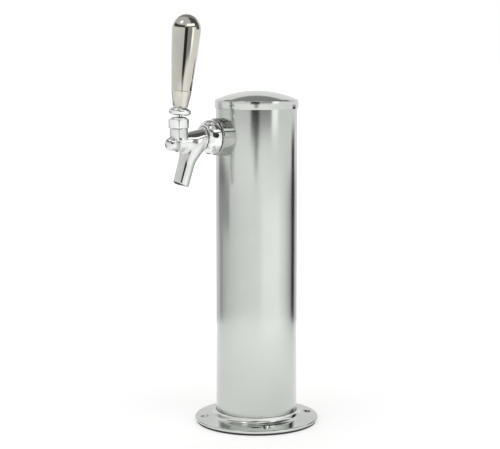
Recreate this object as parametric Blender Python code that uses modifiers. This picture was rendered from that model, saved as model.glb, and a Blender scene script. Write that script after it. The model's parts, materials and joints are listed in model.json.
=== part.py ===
"""Beer tower with one tap: a straight column on a round flange, with a lever faucet on its shank.

Metres, +Z up. The object stands on the plane z = 0, the faucet points along -Y, and the origin is
the middle of the space that the whole object takes up on the counter.
"""

import math

import bmesh
import bpy

# Gaps and cutting
GAP = 0.0003
OVERRUN = 0.004
WELD = 0.00001

# Roundness
STEPS_LARGE = 40
STEPS_MEDIUM = 28
STEPS_SMALL = 18
STEPS_FINE = 12
BODY_SIDES_RESOLUTION = 10
TUBE_SIDES_RESOLUTION = 3

# Column
COLUMN_RADIUS = 0.0381
COLUMN_WALL = 0.0015
COLUMN_INSIDE = COLUMN_RADIUS - COLUMN_WALL

# Gasket and flange at the foot
GASKET_THICKNESS = 0.0015
GASKET_MARGIN = 0.0015
FLANGE_WIDTH = 0.01945
FLANGE_EDGE = 0.0030
FLANGE_RISE = 0.0012
FLANGE_LEDGE = 0.0016
FLANGE_LEDGE_WIDTH = 0.0036
NECK_WALL = 0.0009
NECK_FILLET = 0.0050
NECK_LAND = 0.0003
FLANGE_BOTTOM = GASKET_THICKNESS + GAP
LEDGE_TOP = FLANGE_BOTTOM + FLANGE_LEDGE
NECK_INSIDE = COLUMN_RADIUS + GAP
NECK_OUTSIDE = NECK_INSIDE + NECK_WALL
NECK_HEIGHT = FLANGE_EDGE + FLANGE_RISE + NECK_FILLET + NECK_LAND
FLANGE_RADIUS = NECK_OUTSIDE + FLANGE_WIDTH
FLANGE_BORE = COLUMN_INSIDE - FLANGE_LEDGE_WIDTH
COLUMN_FOOT = LEDGE_TOP + GAP

# Screw holes in the flange, a little outside the middle of its width
SCREW_COUNT = 4
SCREW_OUTSET = 0.000975
SCREW_CIRCLE = NECK_OUTSIDE + FLANGE_WIDTH / 2 + SCREW_OUTSET
SCREW_RADIUS = 0.0025
SCREW_RIM = 0.0021
SCREW_HEAD_RADIUS = SCREW_RADIUS + SCREW_RIM
SCREW_SINK = 0.0021
FIRST_SCREW_DEG = -24.0

# The shank's line, which the column's top and everything on the faucet are set out from
SHANK_HEIGHT = 0.2721

# Cap
CAP_WALL = 0.0009
CAP_SKIRT = 0.0080
CAP_ABOVE_SHANK = 0.0331
CAP_SHOULDER = SHANK_HEIGHT + CAP_ABOVE_SHANK
CAP_RISE = 0.0087
CAP_TOP_THICKNESS = 0.0010
CAP_SEAT = 0.0018
CAP_EDGE_ROUND = 0.0008
CAP_INSIDE = COLUMN_RADIUS + GAP
CAP_RADIUS = CAP_INSIDE + CAP_WALL
CAP_SPHERE = (CAP_RADIUS**2 + CAP_RISE**2) / (2 * CAP_RISE)
COLUMN_TOP = CAP_SHOULDER - CAP_SEAT
GRIP_RING_WALL = 0.0030
GRIP_RING_DEPTH = 0.0090

# Insulation inside the column
SLEEVE_WALL = 0.0080
SLEEVE_BELOW_SHANK = 0.0241
SLEEVE_TOP = SHANK_HEIGHT - SLEEVE_BELOW_SHANK
SLEEVE_OUTSIDE = COLUMN_INSIDE - GAP
SLEEVE_INSIDE = SLEEVE_OUTSIDE - SLEEVE_WALL

# Shank through the column's wall, by distance from the column's axis
SHANK_RADIUS = 0.0110
SHANK_BORE = 0.0032
SHANK_HOLE_CLEARANCE = 0.0006
SHANK_HEAD_STEP = 0.0020
SHANK_HEAD_LENGTH = 0.0052
SHANK_POCKET_WALL = 0.0055
SHANK_POCKET_DEPTH = 0.0090
COLLAR_LENGTH = 0.0094
COLLAR_WALL = 0.0058
COLLAR_ROUND = 0.0014
SHANK_SLEEVE = SHANK_RADIUS + GAP
SHANK_HEAD_RADIUS = SHANK_RADIUS + SHANK_HEAD_STEP
SHANK_POCKET_RADIUS = SHANK_HEAD_RADIUS - SHANK_POCKET_WALL
COLLAR_FRONT = COLUMN_RADIUS + COLLAR_LENGTH
COLLAR_RADIUS = SHANK_SLEEVE + COLLAR_WALL
HEAD_REAR = COLLAR_FRONT + GAP
SHANK_FRONT = HEAD_REAR + SHANK_HEAD_LENGTH

# Nuts and washer behind the column's wall
SADDLE_THICKNESS = 0.0081
SADDLE_WALL = 0.0042
SADDLE_RADIUS = SHANK_SLEEVE + SADDLE_WALL
SADDLE_REAR = COLUMN_INSIDE - SADDLE_THICKNESS
LOCK_NUT_WALL = 0.0032
LOCK_NUT_FLATS = 2 * (SHANK_SLEEVE + LOCK_NUT_WALL)
LOCK_NUT_LENGTH = 0.0075
SHANK_REAR_SHARE = 8 / 19
SHANK_REAR = SADDLE_REAR * SHANK_REAR_SHARE
TAIL_WASHER_THICKNESS = 0.0014
TAIL_FLANGE_STEP = 0.0004
TAIL_FLANGE_RADIUS = SHANK_RADIUS - TAIL_FLANGE_STEP
TAIL_FLANGE_THICKNESS = 0.0018
TAIL_NUT_WALL = 0.0022
TAIL_NUT_FLATS = 2 * (SHANK_SLEEVE + TAIL_NUT_WALL)
TAIL_NUT_LIP = 0.0022
TAIL_NUT_REACH = 0.0068
NUT_BEVEL = 0.0007

# Tail elbow and the line inside the column
ELBOW_RADIUS = 0.0050
ELBOW_BORE = 0.0022
ELBOW_BEND = 0.0095
ELBOW_BEND_POINTS = 7
ELBOW_DROP = 0.0060
LINE_PLACE = 0.0065
BARB_RADIUS = 0.0033
BARB_RIDGE = 0.0006
BARB_LENGTH = 0.0180
BARB_COUNT = 3
LINE_WALL = 0.0017
LINE_INSIDE = BARB_RADIUS + BARB_RIDGE + GAP
LINE_OUTSIDE = LINE_INSIDE + LINE_WALL
CLAMP_WALL = 0.0008
CLAMP_WIDTH = 0.0070
CLAMP_MARGIN = 0.0040
CLAMP_EAR_WIDTH = 0.0040
CLAMP_EAR_HEIGHT = 0.0022
LINE_NUT_WALL = 0.0023
LINE_NUT_HEIGHT = 0.0200
LINE_NUT_FOOT = 0.0080
LINE_NUT_BORE = 0.0102
LINE_NUT_LIP = 0.0030
LINE_NUT_FLATS = 2 * (LINE_NUT_BORE + LINE_NUT_WALL)
LINE_TAIL_STEP = 0.0004
LINE_TAIL_FLANGE = LINE_NUT_BORE - LINE_TAIL_STEP
LINE_TAIL_FLANGE_THICKNESS = 0.0022
LINE_TAIL_NECK = 0.0052
LINE_TAIL_SHOW = 0.0180
LINE_FOOT = LINE_NUT_FOOT + LINE_NUT_HEIGHT + LINE_TAIL_SHOW

# Barrel of the faucet, which slopes down from the shank's line
BARREL_SLOPE_DEG = 6.3
BARREL_RADIUS = 0.0086

# Coupling between shank and faucet, from the shank's head forward
COUPLING_WASHER_THICKNESS = 0.0015
HUB_REAR = SHANK_FRONT + COUPLING_WASHER_THICKNESS + 2 * GAP
HUB_FLANGE_THICKNESS = 0.0022
HUB_STEP = 0.0015
HUB_RADIUS = BARREL_RADIUS + HUB_STEP
HUB_SHOW = 0.0010
NUT_INSIDE = SHANK_HEAD_RADIUS + GAP
NUT_WALL = 0.00255
NUT_RADIUS = NUT_INSIDE + NUT_WALL
NUT_STRAIGHT = 0.0045
NUT_LIP = 0.0034
NUT_LIP_REAR = HUB_REAR + HUB_FLANGE_THICKNESS + GAP
NUT_FRONT = NUT_LIP_REAR + NUT_LIP
NUT_MOUTH_EDGE = 0.0003
NUT_SHOULDER_POWER = 1.7
NUT_SHOULDER_POINTS = 7
NUT_CHAMFER = 0.0008
HUB_FRONT = NUT_FRONT + HUB_SHOW
HUB_FLANGE_ROOM = 0.0007
HUB_FLANGE_RADIUS = NUT_INSIDE - HUB_FLANGE_ROOM
SPANNER_HOLE_COUNT = 8
SPANNER_HOLE_RADIUS = 0.0022
SPANNER_HOLE_DEPTH = 0.0017
SPANNER_HOLE_MARGIN = 0.0062
SPANNER_HOLE_PLACE = HEAD_REAR + SPANNER_HOLE_MARGIN
COUPLING_WASHER_ROOM = 0.0008
COUPLING_WASHER_RADIUS = NUT_INSIDE - COUPLING_WASHER_ROOM
COUPLING_WASHER_STEP = 0.0005
COUPLING_WASHER_BORE = SHANK_POCKET_RADIUS + COUPLING_WASHER_STEP

# Faucet body, by distance along the barrel from the middle of the coupling's rear face
BARREL_INSET = 0.0007
BARREL_REAR = HUB_REAR - HEAD_REAR + BARREL_INSET
NECK_REACH = 0.0372
NECK_MARGIN = 0.0035
BARREL_FRONT = NECK_REACH + NECK_MARGIN
BARREL_ROUND = 0.0012
NOSE_STEP = 0.0020
NOSE_NECK_STEP = 0.0008
NOSE_SHOW = 0.0041
NOSE_PLACE = BARREL_FRONT + NOSE_SHOW
NOSE_RADIUS = BARREL_RADIUS - NOSE_STEP
NOSE_NECK_RADIUS = NOSE_RADIUS - NOSE_NECK_STEP
CHAMBER_WALL = 0.0011
CHAMBER_RADIUS = BARREL_RADIUS - CHAMBER_WALL
CHAMBER_DEPTH = 0.0048
SEAT_PLACE = BARREL_REAR + CHAMBER_DEPTH
BORE_WALL = 0.0039
BORE_RADIUS = BARREL_RADIUS - BORE_WALL
BORE_END_ROUND = 0.0005

# Spout, set out below the shank's line and behind the neck
NECK_PLACE = HEAD_REAR + NECK_REACH
SPOUT_LEAN_DEG = 17.0
SPOUT_SET_BACK = 0.0050
SPOUT_MIDDLE_DROP = 0.0317
SPOUT_TOP_DROP = 0.0251
SPOUT_LENGTH = 0.0174
SPOUT_OUT = NECK_PLACE - SPOUT_SET_BACK
SPOUT_MIDDLE_HEIGHT = SHANK_HEIGHT - SPOUT_MIDDLE_DROP
SPOUT_TOP_HEIGHT = SHANK_HEIGHT - SPOUT_TOP_DROP
SPOUT_TIP_HEIGHT = SPOUT_TOP_HEIGHT - SPOUT_LENGTH
SPOUT_TOP_STEP = 0.0009
SPOUT_TOP_RADIUS = BARREL_RADIUS - SPOUT_TOP_STEP
SPOUT_TAPER = 0.0003
SPOUT_TIP_RADIUS = SPOUT_TOP_RADIUS - SPOUT_TAPER
SPOUT_LIP_WALL = 0.0011
SPOUT_PASSAGE_STEP = 0.0008
SPOUT_PASSAGE_TOP = BORE_RADIUS - SPOUT_PASSAGE_STEP
THROAT_MARGIN = 0.0030
THROAT_REAR = BARREL_REAR + THROAT_MARGIN
THROAT_INSET = 0.0006
THROAT_BULGE = 0.0022
THROAT_POINTS = 9

# The ball, which sets the size of its socket, neck and bonnet
BALL_RADIUS = 0.0064
SOCKET_CLEARANCE = 0.0003
SOCKET_RADIUS = BALL_RADIUS + SOCKET_CLEARANCE

# Upright neck, by distance from the ball's centre
PIVOT_RISE = 0.0114
PIVOT_HEIGHT = SHANK_HEIGHT + PIVOT_RISE
SPIGOT_WALL = 0.0013
SPIGOT_RADIUS = SOCKET_RADIUS + SPIGOT_WALL
SPIGOT_TOP = 0.0006
STACK_NECK_STEP = 0.00035
STACK_NECK_RADIUS = SPIGOT_RADIUS + STACK_NECK_STEP
STACK_NECK_TOP = -0.0026
STACK_NECK_FOOT_RISE = 0.0034
STACK_NECK_FOOT = STACK_NECK_FOOT_RISE - PIVOT_RISE
STACK_NECK_CONE = 0.0050
STACK_NECK_CONE_STEP = 0.00335
STACK_NECK_ROOT = STACK_NECK_FOOT - STACK_NECK_CONE
STACK_NECK_ROOT_RADIUS = STACK_NECK_RADIUS - STACK_NECK_CONE_STEP
SOCKET_FLOOR_ROOM = 0.0004
SOCKET_FLOOR = -(BALL_RADIUS + SOCKET_FLOOR_ROOM)
FINGER_PASSAGE_STEP = 0.0004
FINGER_PASSAGE_RADIUS = BORE_RADIUS - FINGER_PASSAGE_STEP
FINGER_PASSAGE_OFFSET = 0.0012
BUSHING_STEP = 0.0017
BUSHING_HOLE = BALL_RADIUS - BUSHING_STEP
WASHER_STEP = 0.0004
WASHER_FOOT = SPIGOT_TOP + WASHER_STEP
BONNET_WALL = 0.0012
BONNET_RADIUS = SPIGOT_RADIUS + GAP + BONNET_WALL
BONNET_CHAMFER = 0.0030
BONNET_TOP_RADIUS = BONNET_RADIUS - BONNET_CHAMFER
BONNET_MOUTH_WALL = 0.0009
BONNET_MOUTH = BONNET_TOP_RADIUS - BONNET_MOUTH_WALL
BONNET_THROAT_STEP = 0.00085
BONNET_THROAT = BONNET_MOUTH - BONNET_THROAT_STEP
BONNET_CEILING_DROP = 0.0015
BONNET_CEILING = BALL_RADIUS - BONNET_CEILING_DROP
BONNET_ROOF = 0.0009
BONNET_CHAMFER_HEIGHT = 0.0022
BONNET_SHOULDER = BONNET_CEILING + BONNET_ROOF
BONNET_TOP = BONNET_SHOULDER + BONNET_CHAMFER_HEIGHT
BONNET_FOOT_ROUND = 0.0006

# Lever, by distance along the lever from the ball's centre
LEVER_LEAN_DEG = 5.8
LEVER_ROOM = 0.0015
STEM_RADIUS = 0.0024
STEM_MARGIN = 0.0001
STUD_CONE = 0.0010
STUD_RADIUS = 0.0046
STUD_CLEARANCE = 0.0003
STUD_HOLE = STUD_RADIUS + STUD_CLEARANCE
FINGER_RADIUS = 0.0014
FINGER_BELOW_SHANK = 0.0036
FINGER_REACH = PIVOT_RISE + FINGER_BELOW_SHANK
FINGER_TIP_RADIUS = 0.0023
COLLAR_RING_FOOT = BONNET_TOP + LEVER_ROOM
STEM_TOP = COLLAR_RING_FOOT - STEM_MARGIN
STUD_FOOT = STEM_TOP + STUD_CONE
COLLAR_RING_BEAD = 0.0035
COLLAR_RING_WALL = 0.0020
COLLAR_RING_CENTRE = STUD_HOLE + COLLAR_RING_WALL
COLLAR_RING_PLACE = COLLAR_RING_FOOT + COLLAR_RING_BEAD - STUD_CLEARANCE
COLLAR_RING_LAND_STEP = 0.0003
COLLAR_RING_LAND = COLLAR_RING_CENTRE + COLLAR_RING_LAND_STEP
COLLAR_RING_RISE = 0.0041
COLLAR_RING_TOP = COLLAR_RING_PLACE + COLLAR_RING_RISE

# Handle
FERRULE_WALL = 0.0021
FERRULE_FLARE = 0.0023
FERRULE_LENGTH = 0.0137
FERRULE_FOOT_RADIUS = STUD_HOLE + FERRULE_WALL
FERRULE_TOP_RADIUS = FERRULE_FOOT_RADIUS + FERRULE_FLARE
FERRULE_TOP = COLLAR_RING_TOP + GAP + FERRULE_LENGTH
FERRULE_GROOVE = 0.0002
STUD_IN_HANDLE = 0.0108
STUD_TOP = FERRULE_TOP + STUD_IN_HANDLE
HANDLE_LENGTH = 0.0549
HANDLE_FLARE = 0.00375
HANDLE_WIDEST = FERRULE_TOP + GAP + HANDLE_LENGTH
HANDLE_RADIUS = FERRULE_TOP_RADIUS + HANDLE_FLARE
HANDLE_DOME = 0.0140
HANDLE_BULGE = 0.0002
HANDLE_POINTS = 5
HANDLE_DOME_POINTS = 8
INSERT_WALL = 0.0012
INSERT_MARGIN = 0.0075
INSERT_LENGTH = STUD_IN_HANDLE - GAP + INSERT_MARGIN

# Valve shaft, by distance along the barrel as for the body
SHAFT_TAIL = 0.0070
SHAFT_REAR = SEAT_PLACE - SHAFT_TAIL
SHAFT_STEM_RADIUS = 0.0025
SHAFT_SHOULDER_STEP = 0.0013
SHAFT_SHOULDER_RADIUS = SHAFT_STEM_RADIUS + SHAFT_SHOULDER_STEP
SHAFT_SHOULDER_THICKNESS = 0.0014
PISTON_BEHIND_NECK = 0.0047
PISTON_BEYOND_NECK = 0.0068
PISTON_REAR = NECK_REACH - PISTON_BEHIND_NECK
PISTON_FRONT = NECK_REACH + PISTON_BEYOND_NECK
SHAFT_END_ROOM = 0.0004
SLOT_ROOM = 0.0004
SLOT_FLOOR = 0.0026
SEAL_ROOM = 0.0013
SEAL_RADIUS = CHAMBER_RADIUS - SEAL_ROOM
SEAL_THICKNESS = 0.0016
SHAFT_NUT_WALL = 0.0012
SHAFT_NUT_FLATS = 2 * (SHAFT_STEM_RADIUS + GAP + SHAFT_NUT_WALL)
SHAFT_NUT_LENGTH = 0.0024

# What follows from the sizes above
BARREL_SLOPE = math.radians(BARREL_SLOPE_DEG)
SPOUT_LEAN = math.radians(SPOUT_LEAN_DEG)
LEVER_LEAN = math.radians(LEVER_LEAN_DEG)
FAUCET_REACH = HEAD_REAR + NOSE_PLACE * math.cos(BARREL_SLOPE) + NOSE_RADIUS
COLUMN_PLACE = (FAUCET_REACH - FLANGE_RADIUS) / 2
FINGER_PLACE = (NECK_REACH + FINGER_REACH * math.sin(LEVER_LEAN)) / math.cos(BARREL_SLOPE)

# Finishes: colour, roughness and metallic value
SATIN_STEEL = ("satin_steel", (0.56, 0.58, 0.55), 0.30, 1.0)
POLISHED_STEEL = ("polished_steel", (0.62, 0.64, 0.62), 0.10, 1.0)
CHROME = ("chrome", (0.78, 0.79, 0.77), 0.05, 1.0)
WARM_CHROME = ("warm_chrome", (0.72, 0.70, 0.64), 0.06, 1.0)
BRASS = ("brass", (0.70, 0.53, 0.26), 0.25, 1.0)
RUBBER = ("rubber", (0.03, 0.03, 0.03), 0.70, 0.0)
NYLON = ("nylon", (0.85, 0.84, 0.80), 0.45, 0.0)
FOAM = ("foam", (0.16, 0.16, 0.17), 0.90, 0.0)
VINYL = ("vinyl", (0.80, 0.82, 0.78), 0.30, 0.0)


def clear_scene():
    """Empties the file's scene and makes the two collections."""
    for obj in list(bpy.data.objects):
        bpy.data.objects.remove(obj, do_unlink=True)
    collections = []
    for name in ("beer_tower", "beer_tower_cutters"):
        collection = bpy.data.collections.new(name)
        bpy.context.scene.collection.children.link(collection)
        collections.append(collection)
    return collections


def material_of(finish):
    """One Principled material for each finish."""
    name, colour, roughness, metallic = finish
    if name in bpy.data.materials:
        return bpy.data.materials[name]
    material = bpy.data.materials.new(name)
    material.use_nodes = True
    shader = material.node_tree.nodes["Principled BSDF"]
    shader.inputs["Base Color"].default_value = (*colour, 1.0)
    shader.inputs["Roughness"].default_value = roughness
    shader.inputs["Metallic"].default_value = metallic
    material.diffuse_color = (*colour, 1.0)
    return material


PARTS, CUTTERS = clear_scene()


def carrier(name, parent, place, turn=(0.0, 0.0, 0.0)):
    """An empty that pieces hang on: a joint's axis or a line that they share."""
    empty = bpy.data.objects.new(name, None)
    PARTS.objects.link(empty)
    empty.parent = parent
    empty.location = place
    empty.rotation_euler = turn
    return empty


def link(obj, parent, finish, place=(0.0, 0.0, 0.0), turn=(0.0, 0.0, 0.0)):
    """Hangs an object on its carrier, as a part with a finish or as a cutter without one."""
    obj.parent = parent
    obj.location = place
    obj.rotation_euler = turn
    if finish is None:
        CUTTERS.objects.link(obj)
        obj.hide_render = True
        obj.display_type = "WIRE"
    else:
        PARTS.objects.link(obj)
        obj.data.materials.append(material_of(finish))
    return obj


def turned(name, profile, parent, finish, steps=STEPS_MEDIUM, ring=False, place=(0.0, 0.0, 0.0),
           turn=(0.0, 0.0, 0.0)):
    """A turned shape: (radius, height) points from the top down the outer side. A ring closes up."""
    mesh = bpy.data.meshes.new(name)
    edges = [(i, i + 1) for i in range(len(profile) - 1)]
    if ring:
        edges.append((len(profile) - 1, 0))
    mesh.from_pydata([(radius, 0.0, height) for radius, height in profile], edges, [])
    obj = bpy.data.objects.new(name, mesh)
    screw = obj.modifiers.new("Turn", "SCREW")
    screw.axis = "Z"
    screw.angle = math.tau
    screw.steps = steps
    screw.render_steps = steps
    screw.use_merge_vertices = True
    screw.merge_threshold = WELD
    return link(obj, parent, finish, place, turn)


def rod(name, radius, low, high, parent, finish=None, steps=STEPS_MEDIUM, place=(0.0, 0.0, 0.0),
        turn=(0.0, 0.0, 0.0)):
    """A plain cylinder between two heights on its carrier's axis."""
    profile = [(0.0, high), (radius, high), (radius, low), (0.0, low)]
    return turned(name, profile, parent, finish, steps, False, place, turn)


def washer(name, outside, inside, low, high, parent, finish, steps=STEPS_MEDIUM):
    """A flat ring between two heights."""
    profile = [(outside, high), (outside, low), (inside, low), (inside, high)]
    return turned(name, profile, parent, finish, steps, ring=True)


def box(name, size, parent, place, finish=None):
    """A box about its own middle."""
    shape = bmesh.new()
    bmesh.ops.create_cube(shape, size=1.0)
    bmesh.ops.scale(shape, vec=size, verts=shape.verts)
    mesh = bpy.data.meshes.new(name)
    shape.to_mesh(mesh)
    shape.free()
    return link(bpy.data.objects.new(name, mesh), parent, finish, place)


def hexagon(name, flats, low, high, parent, finish, place=(0.0, 0.0)):
    """A six-sided nut blank with broken edges."""
    corner = flats / 2 / math.cos(math.pi / 6)
    shape = bmesh.new()
    bmesh.ops.create_cone(shape, cap_ends=True, segments=6, radius1=corner, radius2=corner, depth=high - low)
    mesh = bpy.data.meshes.new(name)
    shape.to_mesh(mesh)
    shape.free()
    nut = link(bpy.data.objects.new(name, mesh), parent, finish, (*place, (low + high) / 2))
    bevel = nut.modifiers.new("Broken edges", "BEVEL")
    bevel.width = min(NUT_BEVEL, (high - low) / 4)
    bevel.segments = 1
    return nut


def swept(name, path, radii, resolution, parent, finish=None):
    """A round tube along a path, whose radius may change, made into a closed mesh."""
    curve = bpy.data.curves.new(name, "CURVE")
    curve.dimensions = "3D"
    curve.bevel_depth = radii[0]
    curve.bevel_resolution = resolution
    curve.use_fill_caps = True
    spline = curve.splines.new("POLY")
    spline.points.add(len(path) - 1)
    for point, place, radius in zip(spline.points, path, radii):
        point.co = (*place, 1.0)
        point.radius = radius / radii[0]
    guide = bpy.data.objects.new(name + "_guide", curve)
    CUTTERS.objects.link(guide)
    bpy.context.view_layer.update()
    graph = bpy.context.evaluated_depsgraph_get()
    mesh = bpy.data.meshes.new_from_object(guide.evaluated_get(graph))
    mesh.name = name
    shape = bmesh.new()
    shape.from_mesh(mesh)
    bmesh.ops.remove_doubles(shape, verts=shape.verts, dist=WELD)
    bmesh.ops.recalc_face_normals(shape, faces=shape.faces)
    shape.to_mesh(mesh)
    shape.free()
    mesh.materials.clear()
    mesh.shade_smooth()
    obj = bpy.data.objects.new(name, mesh)
    obj.matrix_world = guide.matrix_world
    bpy.data.objects.remove(guide, do_unlink=True)
    return link(obj, parent, finish)


def combine(piece, tool, operation="DIFFERENCE"):
    """Cuts a piece with a tool, joins it to one, or keeps what they share, and merges the slivers."""
    step = piece.modifiers.new(tool.name, "BOOLEAN")
    step.operation = operation
    step.solver = "EXACT"
    step.object = tool
    clean = piece.modifiers.new(tool.name + "_clean", "WELD")
    clean.merge_threshold = WELD
    return piece


def arc(centre, radii, start_deg, end_deg, count):
    """Points on a quarter, half or other stretch of an ellipse, in (radius, height)."""
    points = []
    for i in range(count):
        angle = math.radians(start_deg + (end_deg - start_deg) * i / (count - 1))
        points.append((centre[0] + radii[0] * math.cos(angle), centre[1] + radii[1] * math.sin(angle)))
    return points


def spherical(radius, low, high, count):
    """Points of a sphere's side about the origin, from one height to another."""
    start = math.degrees(math.asin(low / radius))
    end = math.degrees(math.asin(high / radius))
    return arc((0.0, 0.0), (radius, radius), start, end, count)


def barbed(foot, tip, count):
    """The ridged end that a hose grips, from its foot to its tip. Ridges face back to the foot."""
    pitch = (tip - foot) / count
    points = []
    for i in range(count):
        root = foot + i * pitch
        points += [(BARB_RADIUS + BARB_RIDGE, root + pitch / 3), (BARB_RADIUS, root + pitch)]
    return points


def screw_turns():
    """The angle of each screw hole round the flange."""
    return [math.radians(FIRST_SCREW_DEG + 360 * i / SCREW_COUNT) for i in range(SCREW_COUNT)]


def make_foot(tower):
    """Gasket and flange, both with the four screw holes."""
    gasket = washer("base_gasket", FLANGE_RADIUS - GASKET_MARGIN, FLANGE_BORE, 0.0, GASKET_THICKNESS,
                    tower, RUBBER, STEPS_LARGE)
    plate = FLANGE_BOTTOM + FLANGE_EDGE
    fillet_centre = (NECK_OUTSIDE + NECK_FILLET, plate + FLANGE_RISE + NECK_FILLET)
    half_edge = FLANGE_EDGE / 2
    profile = [(NECK_OUTSIDE, FLANGE_BOTTOM + NECK_HEIGHT)]
    profile += arc(fillet_centre, (NECK_FILLET, NECK_FILLET), 195, 270, 5)
    profile += arc((FLANGE_RADIUS - half_edge, FLANGE_BOTTOM + half_edge), (half_edge, half_edge), 90, -90, 5)
    profile += [(FLANGE_BORE, FLANGE_BOTTOM), (FLANGE_BORE, LEDGE_TOP), (NECK_INSIDE, LEDGE_TOP),
                (NECK_INSIDE, FLANGE_BOTTOM + NECK_HEIGHT)]
    flange = turned("base_flange", profile, tower, POLISHED_STEEL, STEPS_LARGE, ring=True)
    slope_share = (FLANGE_RADIUS - SCREW_CIRCLE) / (FLANGE_RADIUS - NECK_OUTSIDE)
    face = plate + FLANGE_RISE * slope_share
    for i, turn in enumerate(screw_turns()):
        place = (SCREW_CIRCLE * math.cos(turn), SCREW_CIRCLE * math.sin(turn), 0.0)
        hole = rod(f"screw_hole_{i}", SCREW_RADIUS, -OVERRUN, face + OVERRUN, tower, steps=STEPS_FINE,
                   place=place)
        widening = (SCREW_HEAD_RADIUS - SCREW_RADIUS) / SCREW_SINK
        sink = [(0.0, face + OVERRUN), (SCREW_HEAD_RADIUS + OVERRUN * widening, face + OVERRUN),
                (SCREW_RADIUS, face - SCREW_SINK), (0.0, face - SCREW_SINK)]
        countersink = turned(f"countersink_{i}", sink, tower, None, STEPS_FINE, place=place)
        combine(gasket, hole)
        combine(flange, hole)
        combine(flange, countersink)


def make_column(tower, across):
    """The column with its shank hole, and the foam sleeve inside."""
    column = washer("column_tube", COLUMN_RADIUS, COLUMN_INSIDE, COLUMN_FOOT, COLUMN_TOP - GAP, tower,
                    SATIN_STEEL, STEPS_LARGE)
    hole = rod("shank_hole", SHANK_RADIUS + SHANK_HOLE_CLEARANCE, SHANK_REAR, COLUMN_RADIUS + OVERRUN, across)
    combine(column, hole)
    washer("insulation_sleeve", SLEEVE_OUTSIDE, SLEEVE_INSIDE, COLUMN_FOOT, SLEEVE_TOP, tower, FOAM,
           STEPS_LARGE)


def make_cap(seat):
    """The domed cap that pulls off, and the ring under it that grips the column's mouth."""
    sphere_centre = CAP_RISE - CAP_SPHERE
    inner_sphere = CAP_SPHERE - CAP_TOP_THICKNESS
    rim = CAP_RADIUS - CAP_EDGE_ROUND
    ledge = COLUMN_INSIDE + GAP
    profile = dome(CAP_SPHERE, sphere_centre, 0.0, rim, 6)
    profile += [(CAP_RADIUS, -CAP_EDGE_ROUND), (CAP_RADIUS, -CAP_SKIRT), (CAP_INSIDE, -CAP_SKIRT),
                (CAP_INSIDE, -CAP_SEAT), (ledge, -CAP_SEAT)]
    profile += dome(inner_sphere, sphere_centre, ledge, 0.0, 4)
    turned("top_cap", profile, seat, POLISHED_STEEL, STEPS_LARGE)
    top = dome(inner_sphere, sphere_centre, SLEEVE_OUTSIDE, 0.0, 2)[0][1] - GAP
    washer("cap_grip_ring", SLEEVE_OUTSIDE, SLEEVE_OUTSIDE - GRIP_RING_WALL, -GRIP_RING_DEPTH, top, seat,
           RUBBER, STEPS_LARGE)


def dome(radius, centre, start, end, count):
    """Points of a shallow dome between two distances from its axis."""
    points = []
    for i in range(count):
        out = start + (end - start) * i / (count - 1)
        points.append((out, centre + math.sqrt(radius**2 - out**2)))
    return points


def make_shank(tower, across):
    """The threaded shank, its collar on the column's face, and the washer and nut behind the wall."""
    body = [(SHANK_HEAD_RADIUS, SHANK_FRONT), (SHANK_HEAD_RADIUS, HEAD_REAR), (SHANK_RADIUS, HEAD_REAR),
            (SHANK_RADIUS, SHANK_REAR), (SHANK_BORE, SHANK_REAR),
            (SHANK_BORE, SHANK_FRONT - SHANK_POCKET_DEPTH),
            (SHANK_POCKET_RADIUS, SHANK_FRONT - SHANK_POCKET_DEPTH), (SHANK_POCKET_RADIUS, SHANK_FRONT)]
    turned("shank", body, across, CHROME, STEPS_MEDIUM, ring=True)

    hole = SHANK_SLEEVE
    collar_profile = arc((COLLAR_RADIUS - COLLAR_ROUND, COLLAR_FRONT - COLLAR_ROUND),
                         (COLLAR_ROUND, COLLAR_ROUND), 90, 0, 5)
    collar_profile += [(COLLAR_RADIUS, COLUMN_RADIUS - 2 * OVERRUN), (hole, COLUMN_RADIUS - 2 * OVERRUN),
                       (hole, COLLAR_FRONT)]
    collar = turned("shank_collar", collar_profile, across, CHROME, STEPS_LARGE, ring=True)
    low = SHANK_HEIGHT - COLLAR_RADIUS - OVERRUN
    high = SHANK_HEIGHT + COLLAR_RADIUS + OVERRUN
    combine(collar, rod("column_outside", COLUMN_RADIUS + GAP, low, high, tower, steps=STEPS_LARGE))

    saddle = washer("shank_washer", SADDLE_RADIUS, hole, SADDLE_REAR, COLUMN_RADIUS, across, NYLON)
    combine(saddle, rod("column_inside", COLUMN_INSIDE - GAP, low, high, tower, steps=STEPS_LARGE),
            "INTERSECT")

    front = SADDLE_REAR - GAP
    nut = hexagon("shank_lock_nut", LOCK_NUT_FLATS, front - LOCK_NUT_LENGTH, front, across, BRASS)
    combine(nut, rod("lock_nut_bore", hole, front - LOCK_NUT_LENGTH - OVERRUN, front + OVERRUN, across))


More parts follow.
